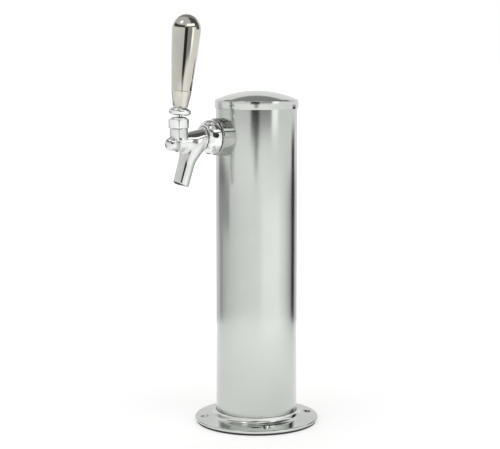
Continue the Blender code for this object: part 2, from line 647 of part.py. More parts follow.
def make_tail(tower, across):
    """The elbow that turns the beer line down, with its washer and nut on the shank's rear end."""
    washer_rear = SHANK_REAR - GAP - TAIL_WASHER_THICKNESS
    washer("tail_washer", TAIL_FLANGE_RADIUS, SHANK_BORE, washer_rear, SHANK_REAR - GAP, across, RUBBER,
           STEPS_SMALL)

    flange_front = washer_rear - GAP
    flange_rear = flange_front - TAIL_FLANGE_THICKNESS
    bend_start = ELBOW_BEND - LINE_PLACE
    path = [(0.0, -flange_front + GAP, SHANK_HEIGHT), (0.0, -bend_start, SHANK_HEIGHT)]
    for i in range(1, ELBOW_BEND_POINTS + 1):
        angle = math.pi / 2 * i / ELBOW_BEND_POINTS
        path.append((0.0, -bend_start + ELBOW_BEND * math.sin(angle),
                     SHANK_HEIGHT - ELBOW_BEND * (1 - math.cos(angle))))
    drop = LINE_PLACE
    foot = SHANK_HEIGHT - ELBOW_BEND - ELBOW_DROP
    path.append((0.0, drop, foot))
    elbow = swept("tail_elbow", path, [ELBOW_RADIUS] * len(path), TUBE_SIDES_RESOLUTION, tower, BRASS)
    combine(elbow, rod("tail_flange", TAIL_FLANGE_RADIUS, flange_rear, flange_front, across,
                       steps=STEPS_SMALL), "UNION")

    tip = foot - BARB_LENGTH
    spigot = [(0.0, foot + OVERRUN), (BARB_RADIUS, foot + OVERRUN), (BARB_RADIUS, foot)]
    spigot += [(radius, 2 * foot - height) for radius, height in barbed(foot, foot + BARB_LENGTH, BARB_COUNT)]
    spigot.append((0.0, tip))
    combine(elbow, turned("elbow_barb", spigot, tower, None, STEPS_SMALL, place=(0.0, drop, 0.0)), "UNION")

    bore = [(0.0, -flange_front - OVERRUN, SHANK_HEIGHT)] + path[1:-1] + [(0.0, drop, tip - OVERRUN)]
    combine(elbow, swept("elbow_bore", bore, [ELBOW_BORE] * len(bore), TUBE_SIDES_RESOLUTION, tower))

    nut_rear = flange_rear - GAP - TAIL_NUT_LIP
    nut_front = nut_rear + TAIL_NUT_REACH + TAIL_NUT_LIP
    nut = hexagon("tail_nut", TAIL_NUT_FLATS, nut_rear, nut_front, across, BRASS)
    combine(nut, rod("tail_nut_thread", SHANK_SLEEVE, flange_rear - GAP, nut_front + OVERRUN, across))
    combine(nut, rod("tail_nut_mouth", ELBOW_RADIUS + GAP, nut_rear - OVERRUN, nut_front, across))
    return drop, foot


def clamp(name, height, tower, drop):
    """A ring with a pinched ear that holds the line on a barb."""
    inside = LINE_OUTSIDE + GAP
    outside = inside + CLAMP_WALL
    low, high = height - CLAMP_WIDTH / 2, height + CLAMP_WIDTH / 2
    ring = turned(name, [(outside, high), (outside, low), (inside, low), (inside, high)], tower,
                  POLISHED_STEEL, STEPS_SMALL, ring=True, place=(0.0, drop, 0.0))
    ear_size = (CLAMP_EAR_WIDTH, CLAMP_WALL + CLAMP_EAR_HEIGHT, CLAMP_WIDTH - CLAMP_WALL)
    ear_place = (0.0, drop + inside + (CLAMP_WALL + CLAMP_EAR_HEIGHT) / 2 + CLAMP_WALL / 2, height)
    combine(ring, box(name + "_ear", ear_size, tower, ear_place), "UNION")


def make_line(tower, drop, foot):
    """The beer line inside the column, clamped on the elbow above and on its tail piece below."""
    line_top = foot - GAP
    turned("beer_line", [(LINE_OUTSIDE, line_top), (LINE_OUTSIDE, LINE_FOOT), (LINE_INSIDE, LINE_FOOT),
                         (LINE_INSIDE, line_top)], tower, VINYL, STEPS_SMALL, ring=True,
           place=(0.0, drop, 0.0))
    clamp("hose_clamp_upper", line_top - CLAMP_MARGIN - CLAMP_WIDTH / 2, tower, drop)
    clamp("hose_clamp_lower", LINE_FOOT + CLAMP_MARGIN + CLAMP_WIDTH / 2, tower, drop)

    nut_top = LINE_NUT_FOOT + LINE_NUT_HEIGHT
    flange_top = nut_top - LINE_NUT_LIP - GAP
    tail = [(0.0, LINE_FOOT + BARB_LENGTH)]
    tail += list(reversed(barbed(LINE_FOOT, LINE_FOOT + BARB_LENGTH, BARB_COUNT)))
    tail += [(BARB_RADIUS, LINE_FOOT - GAP), (LINE_TAIL_NECK, LINE_FOOT - GAP), (LINE_TAIL_NECK, flange_top),
             (LINE_TAIL_FLANGE, flange_top), (LINE_TAIL_FLANGE, flange_top - LINE_TAIL_FLANGE_THICKNESS),
             (0.0, flange_top - LINE_TAIL_FLANGE_THICKNESS)]
    piece = turned("line_tail", tail, tower, BRASS, STEPS_SMALL, place=(0.0, drop, 0.0))
    combine(piece, rod("line_tail_bore", ELBOW_BORE, 0.0, LINE_FOOT + BARB_LENGTH + OVERRUN, tower,
                       steps=STEPS_FINE, place=(0.0, drop, 0.0)))

    nut = hexagon("line_nut", LINE_NUT_FLATS, LINE_NUT_FOOT, nut_top, tower, BRASS, place=(0.0, drop))
    combine(nut, rod("line_nut_thread", LINE_NUT_BORE, LINE_NUT_FOOT - OVERRUN, nut_top - LINE_NUT_LIP, tower,
                     steps=STEPS_SMALL, place=(0.0, drop, 0.0)))
    combine(nut, rod("line_nut_mouth", LINE_TAIL_NECK + GAP, LINE_NUT_FOOT, nut_top + OVERRUN, tower,
                     steps=STEPS_SMALL, place=(0.0, drop, 0.0)))


def nut_shoulder():
    """The coupling nut's rounded front, from its mouth out to its straight side."""
    start = HEAD_REAR + NUT_STRAIGHT
    mouth = HUB_RADIUS + GAP + NUT_MOUTH_EDGE
    points = []
    for i in range(NUT_SHOULDER_POINTS):
        along = 1 - i / (NUT_SHOULDER_POINTS - 1)
        out = (1 - along**NUT_SHOULDER_POWER) ** (1 / NUT_SHOULDER_POWER)
        points.append((mouth + (NUT_RADIUS - mouth) * out, start + (NUT_FRONT - start) * along))
    return points


def make_coupling(across):
    """The nut that draws the faucet onto the shank, with its spanner holes, and the washer inside."""
    profile = nut_shoulder()
    profile += [(NUT_RADIUS, HEAD_REAR + NUT_CHAMFER), (NUT_RADIUS - NUT_CHAMFER, HEAD_REAR),
                (NUT_INSIDE, HEAD_REAR), (NUT_INSIDE, NUT_LIP_REAR), (HUB_RADIUS + GAP, NUT_LIP_REAR),
                (HUB_RADIUS + GAP, NUT_FRONT)]
    nut = turned("coupling_nut", profile, across, CHROME, STEPS_LARGE, ring=True)
    for i in range(SPANNER_HOLE_COUNT):
        angle = math.tau * i / SPANNER_HOLE_COUNT
        hole = rod(f"spanner_hole_{i}", SPANNER_HOLE_RADIUS, NUT_RADIUS - SPANNER_HOLE_DEPTH,
                   NUT_RADIUS + OVERRUN, across, steps=STEPS_FINE, place=(0.0, 0.0, SPANNER_HOLE_PLACE),
                   turn=(0.0, math.pi / 2, angle))
        combine(nut, hole)
    washer("coupling_washer", COUPLING_WASHER_RADIUS, COUPLING_WASHER_BORE, SHANK_FRONT + GAP,
           SHANK_FRONT + GAP + COUPLING_WASHER_THICKNESS, across, RUBBER)


def spout_point(height):
    """The spout's middle line at a height, as (x, y, z) on the tower."""
    out = SPOUT_OUT - (height - SPOUT_MIDDLE_HEIGHT) * math.tan(SPOUT_LEAN)
    return (0.0, -out, height)


def barrel_point(along):
    """The barrel's middle line at a distance from the coupling's rear face."""
    return (0.0, -(HEAD_REAR + along * math.cos(BARREL_SLOPE)), SHANK_HEIGHT - along * math.sin(BARREL_SLOPE))


def spout_meets_barrel():
    """Where the spout's middle line crosses the barrel's."""
    fall = math.tan(BARREL_SLOPE)
    lean = math.tan(SPOUT_LEAN)
    rise = SHANK_HEIGHT + HEAD_REAR * fall - SPOUT_MIDDLE_HEIGHT
    out = (SPOUT_OUT - rise * lean) / (1 - fall * lean)
    return (0.0, -out, SHANK_HEIGHT - (out - HEAD_REAR) * fall)


def throat():
    """The body's run from the barrel round into the spout, with a radius at each point."""
    start, bend, end = barrel_point(THROAT_REAR), spout_meets_barrel(), spout_point(SPOUT_TOP_HEIGHT)
    rear_radius = BARREL_RADIUS - THROAT_INSET
    path, radii = [], []
    for i in range(THROAT_POINTS):
        u = i / (THROAT_POINTS - 1)
        weights = ((1 - u) ** 2, 2 * u * (1 - u), u**2)
        path.append(tuple(sum(w * p[k] for w, p in zip(weights, (start, bend, end))) for k in range(3)))
        plain = rear_radius + (SPOUT_TOP_RADIUS - rear_radius) * u
        radii.append(plain + THROAT_BULGE * math.sin(math.pi * u))
    path.append(spout_point(SPOUT_TIP_HEIGHT))
    radii.append(SPOUT_TIP_RADIUS)
    return path, radii


def make_body(tower, across, barrel, neck):
    """The faucet's casting: barrel and nose, hub, spout and upright neck, with the passages cut out."""
    profile = [(0.0, NOSE_PLACE + NOSE_RADIUS)]
    nose_join = math.degrees(math.acos(NOSE_NECK_RADIUS / NOSE_RADIUS))
    profile += arc((0.0, NOSE_PLACE), (NOSE_RADIUS, NOSE_RADIUS), 78, -nose_join, 9)
    profile += [(NOSE_NECK_RADIUS, BARREL_FRONT)]
    profile += arc((BARREL_RADIUS - BARREL_ROUND, BARREL_FRONT - BARREL_ROUND), (BARREL_ROUND, BARREL_ROUND),
                   90, 0, 4)
    profile += [(BARREL_RADIUS, BARREL_REAR), (0.0, BARREL_REAR)]
    body = turned("faucet_body", profile, barrel, CHROME)

    path, radii = throat()
    combine(body, swept("throat_and_spout", path, radii, BODY_SIDES_RESOLUTION, tower), "UNION")
    nut_room = turned("nut_room", [(NUT_RADIUS + OVERRUN, NUT_FRONT + GAP), (NUT_RADIUS + OVERRUN, HEAD_REAR),
                                   (HUB_RADIUS - GAP, HEAD_REAR), (HUB_RADIUS - GAP, NUT_FRONT + GAP)],
                      across, None, ring=True)
    combine(body, nut_room)

    hub = [(0.0, HUB_FRONT), (HUB_RADIUS, HUB_FRONT), (HUB_RADIUS, HUB_REAR + HUB_FLANGE_THICKNESS),
           (HUB_FLANGE_RADIUS, HUB_REAR + HUB_FLANGE_THICKNESS), (HUB_FLANGE_RADIUS, HUB_REAR),
           (0.0, HUB_REAR)]
    combine(body, turned("hub", hub, across, None), "UNION")

    upright = [(0.0, SPIGOT_TOP), (SPIGOT_RADIUS, SPIGOT_TOP), (SPIGOT_RADIUS, STACK_NECK_TOP),
               (STACK_NECK_RADIUS, STACK_NECK_TOP), (STACK_NECK_RADIUS, STACK_NECK_FOOT),
               (STACK_NECK_ROOT_RADIUS, STACK_NECK_ROOT), (0.0, STACK_NECK_ROOT)]
    combine(body, turned("upright", upright, neck, None), "UNION")

    chamber_rear = (HUB_REAR - HEAD_REAR) / math.cos(BARREL_SLOPE) - OVERRUN
    combine(body, rod("chamber", CHAMBER_RADIUS, chamber_rear, SEAT_PLACE, barrel))
    bore_end = PISTON_FRONT + SHAFT_END_ROOM
    bore = [(0.0, bore_end), (BORE_RADIUS - BORE_END_ROUND, bore_end),
            (BORE_RADIUS, bore_end - BORE_END_ROUND), (BORE_RADIUS, SEAT_PLACE - OVERRUN),
            (0.0, SEAT_PLACE - OVERRUN)]
    combine(body, turned("shaft_bore", bore, barrel, None, STEPS_SMALL))
    combine(body, rod("socket_bore", SOCKET_RADIUS, SOCKET_FLOOR, SPIGOT_TOP + OVERRUN, neck))
    passage_foot = -NECK_REACH * math.tan(BARREL_SLOPE) - PIVOT_RISE
    combine(body, rod("finger_passage", FINGER_PASSAGE_RADIUS, passage_foot, SOCKET_FLOOR + OVERRUN, neck,
                      steps=STEPS_SMALL, place=(0.0, FINGER_PASSAGE_OFFSET, 0.0)))

    meet = spout_meets_barrel()
    run = (meet[2] - SPOUT_TIP_HEIGHT) / math.cos(SPOUT_LEAN)
    tip_inside = SPOUT_TIP_RADIUS - SPOUT_LIP_WALL
    outlet = [(0.0, 0.0), (SPOUT_PASSAGE_TOP, 0.0), (tip_inside, -run), (tip_inside, -run - OVERRUN),
              (0.0, -run - OVERRUN)]
    combine(body, turned("spout_passage", outlet, tower, None, STEPS_SMALL, place=meet,
                         turn=(-SPOUT_LEAN, 0.0, 0.0)))


def make_socket(neck):
    """What holds the ball: the bushing under it, the friction washer over it and the bonnet."""
    bushing_rim = SOCKET_RADIUS - GAP
    rise = math.sqrt(SOCKET_RADIUS**2 - BUSHING_HOLE**2)
    rim_rise = math.sqrt(SOCKET_RADIUS**2 - bushing_rim**2)
    cup = [(bushing_rim, -rim_rise), (bushing_rim, SOCKET_FLOOR + GAP), (BUSHING_HOLE, SOCKET_FLOOR + GAP)]
    cup += spherical(SOCKET_RADIUS, -rise, -rim_rise, 6)[:-1]
    turned("ball_bushing", cup, neck, NYLON, ring=True)

    washer_top = BONNET_CEILING - GAP
    ring = [(SPIGOT_RADIUS, washer_top), (SPIGOT_RADIUS, WASHER_FOOT)]
    ring += spherical(SOCKET_RADIUS, WASHER_FOOT, washer_top, 6)
    turned("friction_washer", ring, neck, NYLON, ring=True)

    foot = STACK_NECK_TOP + GAP
    inside = SPIGOT_RADIUS + GAP
    bonnet = [(BONNET_MOUTH, BONNET_TOP), (BONNET_TOP_RADIUS, BONNET_TOP), (BONNET_RADIUS, BONNET_SHOULDER),
              (BONNET_RADIUS, foot + BONNET_FOOT_ROUND), (BONNET_RADIUS - BONNET_FOOT_ROUND, foot),
              (inside, foot), (inside, BONNET_CEILING), (BONNET_THROAT, BONNET_CEILING)]
    turned("bonnet", bonnet, neck, CHROME, ring=True)


def make_lever(lever):
    """Ball lever, collar, ferrule, handle and the threaded insert in the handle."""
    top = math.degrees(math.acos(STEM_RADIUS / BALL_RADIUS))
    foot = math.degrees(math.acos(FINGER_RADIUS / BALL_RADIUS))
    profile = [(0.0, STUD_TOP), (STUD_RADIUS - GAP, STUD_TOP), (STUD_RADIUS, STUD_TOP - GAP),
               (STUD_RADIUS, STUD_FOOT), (STEM_RADIUS, STEM_TOP)]
    profile += arc((0.0, 0.0), (BALL_RADIUS, BALL_RADIUS), top, -foot, 14)
    profile += [(FINGER_RADIUS, -FINGER_REACH + FINGER_TIP_RADIUS)]
    profile += arc((0.0, -FINGER_REACH), (FINGER_TIP_RADIUS, FINGER_TIP_RADIUS), 20, -90, 6)
    profile[-1] = (0.0, -FINGER_REACH - FINGER_TIP_RADIUS)
    turned("ball_lever", profile, lever, CHROME, STEPS_SMALL)

    centre = (COLLAR_RING_CENTRE, COLLAR_RING_PLACE)
    bead = arc(centre, (COLLAR_RING_BEAD, COLLAR_RING_BEAD), 84, -90, 9)
    ring = [(STUD_HOLE, COLLAR_RING_TOP), (COLLAR_RING_LAND, COLLAR_RING_TOP)] + bead
    ring += [(STUD_HOLE, COLLAR_RING_FOOT)]
    turned("lever_collar", ring, lever, CHROME, ring=True)

    ferrule_foot = COLLAR_RING_TOP + GAP
    ferrule = [(FERRULE_TOP_RADIUS - FERRULE_GROOVE, FERRULE_TOP),
               (FERRULE_TOP_RADIUS, FERRULE_TOP - FERRULE_GROOVE), (FERRULE_FOOT_RADIUS, ferrule_foot),
               (STUD_HOLE, ferrule_foot), (STUD_HOLE, FERRULE_TOP)]
    turned("handle_ferrule", ferrule, lever, WARM_CHROME, ring=True)

    foot = FERRULE_TOP + GAP
    pocket = STUD_HOLE + INSERT_WALL + GAP
    insert_top = foot + INSERT_LENGTH
    grip = [(0.0, HANDLE_WIDEST + HANDLE_DOME)]
    grip += arc((0.0, HANDLE_WIDEST), (HANDLE_RADIUS, HANDLE_DOME), 82, 0, HANDLE_DOME_POINTS)
    for i in range(1, HANDLE_POINTS):
        share = i / (HANDLE_POINTS - 1)
        radius = HANDLE_RADIUS + (FERRULE_TOP_RADIUS - HANDLE_RADIUS) * share
        grip.append((radius + HANDLE_BULGE * math.sin(math.pi * share),
                     HANDLE_WIDEST + (foot - HANDLE_WIDEST) * share))
    grip += [(pocket, foot), (pocket, insert_top + GAP), (0.0, insert_top + GAP)]
    turned("tap_handle", grip, lever, WARM_CHROME)
    turned("handle_insert", [(STUD_HOLE + INSERT_WALL, insert_top), (STUD_HOLE + INSERT_WALL, foot),
                             (STUD_HOLE, foot), (STUD_HOLE, insert_top)], lever, BRASS, STEPS_SMALL,
           ring=True)


def make_valve(shaft):
    """The sliding shaft that the lever's finger moves, with the seal and nut at its rear end."""
    seat = SEAT_PLACE
    piston = BORE_RADIUS - GAP
    profile = [(0.0, PISTON_FRONT), (piston - BORE_END_ROUND, PISTON_FRONT),
               (piston, PISTON_FRONT - BORE_END_ROUND), (piston, PISTON_REAR),
               (SHAFT_STEM_RADIUS, PISTON_REAR - GAP),
               (SHAFT_STEM_RADIUS, seat + SHAFT_SHOULDER_THICKNESS),
               (SHAFT_SHOULDER_RADIUS, seat + SHAFT_SHOULDER_THICKNESS), (SHAFT_SHOULDER_RADIUS, seat),
               (SHAFT_STEM_RADIUS, seat), (SHAFT_STEM_RADIUS, SHAFT_REAR), (0.0, SHAFT_REAR)]
    piece = turned("valve_shaft", profile, shaft, BRASS, STEPS_SMALL)
    width = 2 * (FINGER_TIP_RADIUS + SLOT_ROOM)
    height = piston + OVERRUN + SLOT_FLOOR
    middle = (0.0, (piston + OVERRUN - SLOT_FLOOR) / 2, FINGER_PLACE)
    combine(piece, box("finger_slot", (width, height, width), shaft, middle))

    seal_rear = seat - GAP - SEAL_THICKNESS
    stem_hole = SHAFT_STEM_RADIUS + GAP
    washer("shaft_seal", SEAL_RADIUS, stem_hole, seal_rear, seat - GAP, shaft, RUBBER, STEPS_SMALL)
    nut_front = seal_rear - GAP
    nut = hexagon("shaft_nut", SHAFT_NUT_FLATS, nut_front - SHAFT_NUT_LENGTH, nut_front, shaft, BRASS)
    combine(nut, rod("shaft_nut_bore", stem_hole, nut_front - SHAFT_NUT_LENGTH - OVERRUN, nut_front + OVERRUN,
                     shaft, steps=STEPS_FINE))


def build():
    """The whole tower, on carriers for its column, its shank line, its barrel and its joints."""
    forward = math.pi / 2
    tower = carrier("column_axis", None, (0.0, COLUMN_PLACE, 0.0))
    across = carrier("shank_axis", tower, (0.0, 0.0, SHANK_HEIGHT), (forward, 0.0, 0.0))
    barrel_place = (0.0, -HEAD_REAR, SHANK_HEIGHT)
    barrel_turn = (forward + BARREL_SLOPE, 0.0, 0.0)
    barrel = carrier("barrel_axis", tower, barrel_place, barrel_turn)
    shaft = carrier("shaft_slide_axis", tower, barrel_place, barrel_turn)
    neck = carrier("neck_axis", tower, (0.0, -NECK_PLACE, PIVOT_HEIGHT))
    lever = carrier("lever_pivot", tower, (0.0, -NECK_PLACE, PIVOT_HEIGHT), (-LEVER_LEAN, 0.0, 0.0))
    seat = carrier("cap_lift_axis", tower, (0.0, 0.0, CAP_SHOULDER))

    make_foot(tower)
    make_column(tower, across)
    make_cap(seat)
    make_shank(tower, across)
    drop, foot = make_tail(tower, across)
    make_line(tower, drop, foot)
    make_coupling(across)
    make_body(tower, across, barrel, neck)
    make_socket(neck)
    make_lever(lever)
    make_valve(shaft)
    bpy.context.view_layer.update()
    for name, line in (("lever pivot", lever), ("shaft line", shaft), ("cap seat", seat)):
        print(name, [round(value, 6) for value in line.matrix_world.translation])


build()
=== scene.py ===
# %% [markdown]
# # A beer tower with one tap
#
# This file dresses a beer tower: a steel column on a round foot, with a domed cap and one lever
# faucet. The solid model is already packed, so the first step loads it as a fixed frame. Every piece
# made here is placed from that frame and moves with one of its bodies: tower, lever, valve or cap.
#
# Bright metal shows whatever stands round it. Small facets that nobody sees on painted wood would
# break up every reflection here, so nearly each visible piece is made again, finely and from the
# same sizes, and stands for its plain solid.

# %% Load the frame
import json
import math

import bmesh
import bpy
import numpy as np
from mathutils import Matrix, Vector


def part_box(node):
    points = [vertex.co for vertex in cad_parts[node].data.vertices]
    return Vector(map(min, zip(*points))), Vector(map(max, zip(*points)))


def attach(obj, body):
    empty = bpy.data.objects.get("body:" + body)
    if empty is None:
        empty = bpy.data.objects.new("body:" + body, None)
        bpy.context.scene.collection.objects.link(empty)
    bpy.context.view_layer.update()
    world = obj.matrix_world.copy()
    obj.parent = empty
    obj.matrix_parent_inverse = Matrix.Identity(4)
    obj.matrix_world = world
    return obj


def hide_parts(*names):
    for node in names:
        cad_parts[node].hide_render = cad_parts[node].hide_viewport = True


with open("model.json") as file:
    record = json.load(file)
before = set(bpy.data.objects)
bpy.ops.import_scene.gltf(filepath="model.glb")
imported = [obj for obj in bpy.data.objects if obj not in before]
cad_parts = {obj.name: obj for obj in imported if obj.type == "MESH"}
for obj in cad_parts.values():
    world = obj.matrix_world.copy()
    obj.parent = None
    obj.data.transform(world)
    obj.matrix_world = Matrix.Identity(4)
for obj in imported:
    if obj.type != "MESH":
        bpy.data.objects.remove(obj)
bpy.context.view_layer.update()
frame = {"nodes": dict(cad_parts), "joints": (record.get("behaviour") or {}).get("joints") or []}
NODES = frame["nodes"]

# %% [markdown]
# ## Where things are
#
# Turned pieces need an axis: a point, a direction, and a distance along it. The tower has five. The
# column's axis comes from the tube's box, the lever's pivot and the valve shaft's line come from the
# record's joints, and the shank's line is level at the height where the faucet is screwed on.

# %% Axes of the tower
def middle(node):
    """The middle of a node's box at rest."""
    low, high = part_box(node)
    return (low + high) / 2


JOINTS = {joint["name"]: joint for joint in frame["joints"]}
ORIGIN = Vector((0, 0, 0))
UP = Vector((0, 0, 1))
SIDE = Vector((1, 0, 0))
FORWARD = Vector((0, -1, 0))
COLUMN = Vector((0, middle("column_tube").y, 0))
SHANK = Vector((0, COLUMN.y, middle("shank").z))
# From the column's axis out to the rear face of the coupling nut.
HUB_PLACE = 0.0478
BARREL = SHANK + FORWARD * HUB_PLACE
BARREL_LINE = -Vector(JOINTS["shaft_slide"]["axis"]).normalized()
PIVOT = Vector(JOINTS["lever_pull"]["pos_m"])
LEVER_LEAN = math.radians(5.8)
LEVER_LINE = Vector((0, math.sin(LEVER_LEAN), math.cos(LEVER_LEAN)))
print("column", tuple(COLUMN), "shank", tuple(SHANK), "pivot", tuple(PIVOT))

# %% [markdown]
# ## Turning a shape
#
# A turned piece could be a curve with a Screw modifier, but here the mesh is written directly, ring
# by ring, so its place is in its points and its object stays at the origin. A profile is a list of
# (radius, distance along the axis), and a sharp corner on real metal is always a little round, so
# `eased` puts a small arc on each corner. That arc is what catches the light.

# %% Profiles with eased corners
def arc(centre, radii, start, end, count):
    """Points on a stretch of an ellipse, angles in degrees."""
    angles = np.radians(np.linspace(start, end, count))
    return [(centre[0] + radii[0] * math.cos(a), centre[1] + radii[1] * math.sin(a)) for a in angles]


def eased(points, radius, closed=False, steps=4, least=25, share=0.42):
    """The profile with an arc on each corner that turns by more than `least` degrees.

    An arc takes at most a share of each stretch beside its corner.
    """
    pts = [Vector(p) for p in points]
    count = len(pts)
    done = []
    for i, corner in enumerate(pts):
        if not closed and i in (0, count - 1):
            done.append(tuple(corner))
            continue
        back, ahead = pts[i - 1] - corner, pts[(i + 1) % count] - corner
        angle = back.angle(ahead)
        if math.degrees(math.pi - angle) < least:
            done.append(tuple(corner))
            continue
        reach = min(radius / math.tan(angle / 2), share * back.length, share * ahead.length)
        start, end = corner + back.normalized() * reach, corner + ahead.normalized() * reach
        for k in range(steps + 1):
            u = k / steps
            done.append(tuple(start * (1 - u) ** 2 + corner * (2 * u * (1 - u)) + end * u**2))
    return done


# %% Meshes from rings of points
def finished(name, mesh, material, body, stands_for=(), sharp=35):
    """Shades a mesh, gives it its finish, and hangs it on a body in place of its solids."""
    mesh.materials.clear()
    mesh.materials.append(material)
    mesh.shade_smooth()
    mesh.set_sharp_from_angle(angle=math.radians(sharp))
    piece = bpy.data.objects.new(name, mesh)
    bpy.context.scene.collection.objects.link(piece)
    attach(piece, body)
    if stands_for:
        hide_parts(*stands_for)
    print(name, len(mesh.polygons), "faces")
    return piece


ON_AXIS = 1e-7


def turned_mesh(name, profile, base, line, closed=False, sides=160):
    """A mesh turned about an axis. An open profile ends on the axis or is left open there."""
    line = line.normalized()
    across = line.orthogonal().normalized()
    third = line.cross(across)
    shape = bmesh.new()
    rings = []
    for radius, along in profile:
        centre = base + line * along
        if radius < ON_AXIS:
            rings.append([shape.verts.new(centre)])
            continue
        ring = []
        for k in range(sides):
            angle = math.tau * k / sides
            out = across * math.cos(angle) + third * math.sin(angle)
            ring.append(shape.verts.new(centre + out * radius))
        rings.append(ring)
    pairs = list(zip(rings, rings[1:]))
    if closed:
        pairs.append((rings[-1], rings[0]))
    for one, two in pairs:
        if len(one) == 1 and len(two) == 1:
            continue
        for k in range(sides):
            n = (k + 1) % sides
            if len(one) == 1:
                shape.faces.new((one[0], two[k], two[n]))
            elif len(two) == 1:
                shape.faces.new((one[k], two[0], one[n]))
            else:
                shape.faces.new((one[k], two[k], two[n], one[n]))
    bmesh.ops.recalc_face_normals(shape, faces=shape.faces)
    mesh = bpy.data.meshes.new(name)
    shape.to_mesh(mesh)
    shape.free()
    return mesh


# %% [markdown]
# ## Finishes
#
# Every metal here is one Principled shader with metallic at 1; what tells chrome from satin steel is
# how rough it is, and how that roughness varies. Polishing leaves fine lines, handling leaves soft
# clouds, and both are noise on Object coordinates, so they stay on the piece when it moves. A
# texture from a picture would do it too, but noise needs no picture and has no seams.

# %% Helpers for finishes
def new_material(name):
    """A material with its Principled shader, and a function that adds linked nodes."""
    material = bpy.data.materials.new(name)
    material.use_nodes = True
    tree = material.node_tree
    shader = tree.nodes["Principled BSDF"]

    def add(kind, **sockets):
        node = tree.nodes.new(kind)
        for key, value in sockets.items():
            socket = node.inputs[key.replace("_", " ")]
            if isinstance(value, bpy.types.NodeSocket):
                tree.links.new(value, socket)
            else:
                socket.default_value = value
        return node

    return material, tree, shader, add


def noise_on(add, scale, stretch=(1, 1, 1), detail=3.0):
    """Noise on Object coordinates, stretched along one axis for lines."""
    place = add("ShaderNodeTexCoord").outputs["Object"]
    mapped = add("ShaderNodeMapping", Vector=place, Scale=stretch).outputs["Vector"]
    return add("ShaderNodeTexNoise", Vector=mapped, Scale=scale, Detail=detail).outputs["Fac"]


NOISE_DARK, NOISE_LIGHT = 0.3, 0.7
SHADE_DARK, SHADE_LIGHT = 0.35, 0.65


def between(add, factor, low, high):
    """A number that runs from low to high as a noise runs from dark to light."""
    node = add("ShaderNodeMapRange", Value=factor)
    node.inputs["From Min"].default_value = NOISE_DARK
    node.inputs["From Max"].default_value = NOISE_LIGHT
    node.inputs["To Min"].default_value = low
    node.inputs["To Max"].default_value = high
    return node.outputs["Result"]


def shades(add, factor, dark, light):
    """A colour between two, by a noise."""
    node = add("ShaderNodeValToRGB", Fac=factor)
    for element, position, colour in zip(node.color_ramp.elements, (SHADE_DARK, SHADE_LIGHT), (dark, light)):
        element.position = position
        element.color = (*colour, 1)
    return node.outputs["Color"]


LINE_RELIEF = 0.0001


def metal(name, dark, light, roughness, line_stretch=(1, 1, 1), line_scale=900, depth=0.02, cloud=60):
    """A metal: colour in soft clouds, roughness in clouds and lines, and a faint relief of lines."""
    material, tree, shader, add = new_material(name)
    clouds = noise_on(add, cloud, detail=4.0)
    lines = noise_on(add, line_scale, line_stretch, detail=2.0)
    tree.links.new(shades(add, clouds, dark, light), shader.inputs["Base Color"])
    smooth, rough = roughness
    both = add("ShaderNodeMath")
    both.operation = "ADD"
    tree.links.new(between(add, clouds, smooth / 2, rough / 2), both.inputs[0])
    tree.links.new(between(add, lines, smooth / 2, rough / 2), both.inputs[1])
    tree.links.new(both.outputs[0], shader.inputs["Roughness"])
    bump = add("ShaderNodeBump", Height=lines, Strength=depth, Distance=LINE_RELIEF)
    tree.links.new(bump.outputs["Normal"], shader.inputs["Normal"])
    shader.inputs["Metallic"].default_value = 1.0
    return material


# %% The tower's metals
UPRIGHT_LINES = (1, 1, 0.08)
LEVEL_LINES = (0.06, 0.06, 1)
HANDLE_LINES = (1, 1, 0.1)
SATIN_STEEL = metal("satin_steel", (0.545, 0.575, 0.545), (0.60, 0.625, 0.595), (0.13, 0.20),
                    LEVEL_LINES, line_scale=1400, depth=0.10, cloud=14)
POLISHED_STEEL = metal("polished_steel", (0.60, 0.625, 0.60), (0.65, 0.67, 0.645), (0.045, 0.09),
                       UPRIGHT_LINES, line_scale=700, depth=0.02, cloud=30)
CHROME = metal("bright_chrome", (0.79, 0.80, 0.785), (0.85, 0.86, 0.845), (0.02, 0.06),
               line_scale=600, depth=0.006, cloud=90)
# The casting's chrome is a darker copy of the nut's chrome: painted shade over the whole casting.
PAINTED_SHADE_CAST_CHROME = metal("painted_shade_cast_chrome", (0.67, 0.68, 0.665), (0.73, 0.74, 0.725), (0.03, 0.07),
                    line_scale=500, depth=0.01, cloud=90)
# The collar's chrome is a still darker copy of the same plating: painted shade on the collar.
PAINTED_SHADE_COLLAR_CHROME = metal("painted_shade_collar_chrome", (0.36, 0.375, 0.355), (0.41, 0.425, 0.40), (0.08, 0.14),
                    line_scale=800, depth=0.02, cloud=90)
WARM_CHROME = metal("warm_chrome", (0.60, 0.58, 0.525), (0.65, 0.63, 0.575), (0.02, 0.06),
                    HANDLE_LINES, line_scale=600, depth=0.006, cloud=70)
BRASS = metal("machined_brass", (0.62, 0.44, 0.19), (0.74, 0.56, 0.28), (0.18, 0.34),
              HANDLE_LINES, line_scale=900, depth=0.05, cloud=120)
print("metals", len(bpy.data.materials))

# %% Rubber, plastics, foam and painted shade for the inside of a hole
GRAIN_RELIEF = 0.0004


def plain(name, dark, light, roughness, scale, depth, grain=900):
    """A rubber, plastic or foam: colour and roughness in clouds, with a fine grain."""
    material, tree, shader, add = new_material(name)
    clouds = noise_on(add, scale, detail=5.0)
    tree.links.new(shades(add, clouds, dark, light), shader.inputs["Base Color"])
    tree.links.new(between(add, clouds, *roughness), shader.inputs["Roughness"])
    fine = noise_on(add, grain, detail=4.0)
    bump = add("ShaderNodeBump", Height=fine, Strength=depth, Distance=GRAIN_RELIEF)
    tree.links.new(bump.outputs["Normal"], shader.inputs["Normal"])
    return material


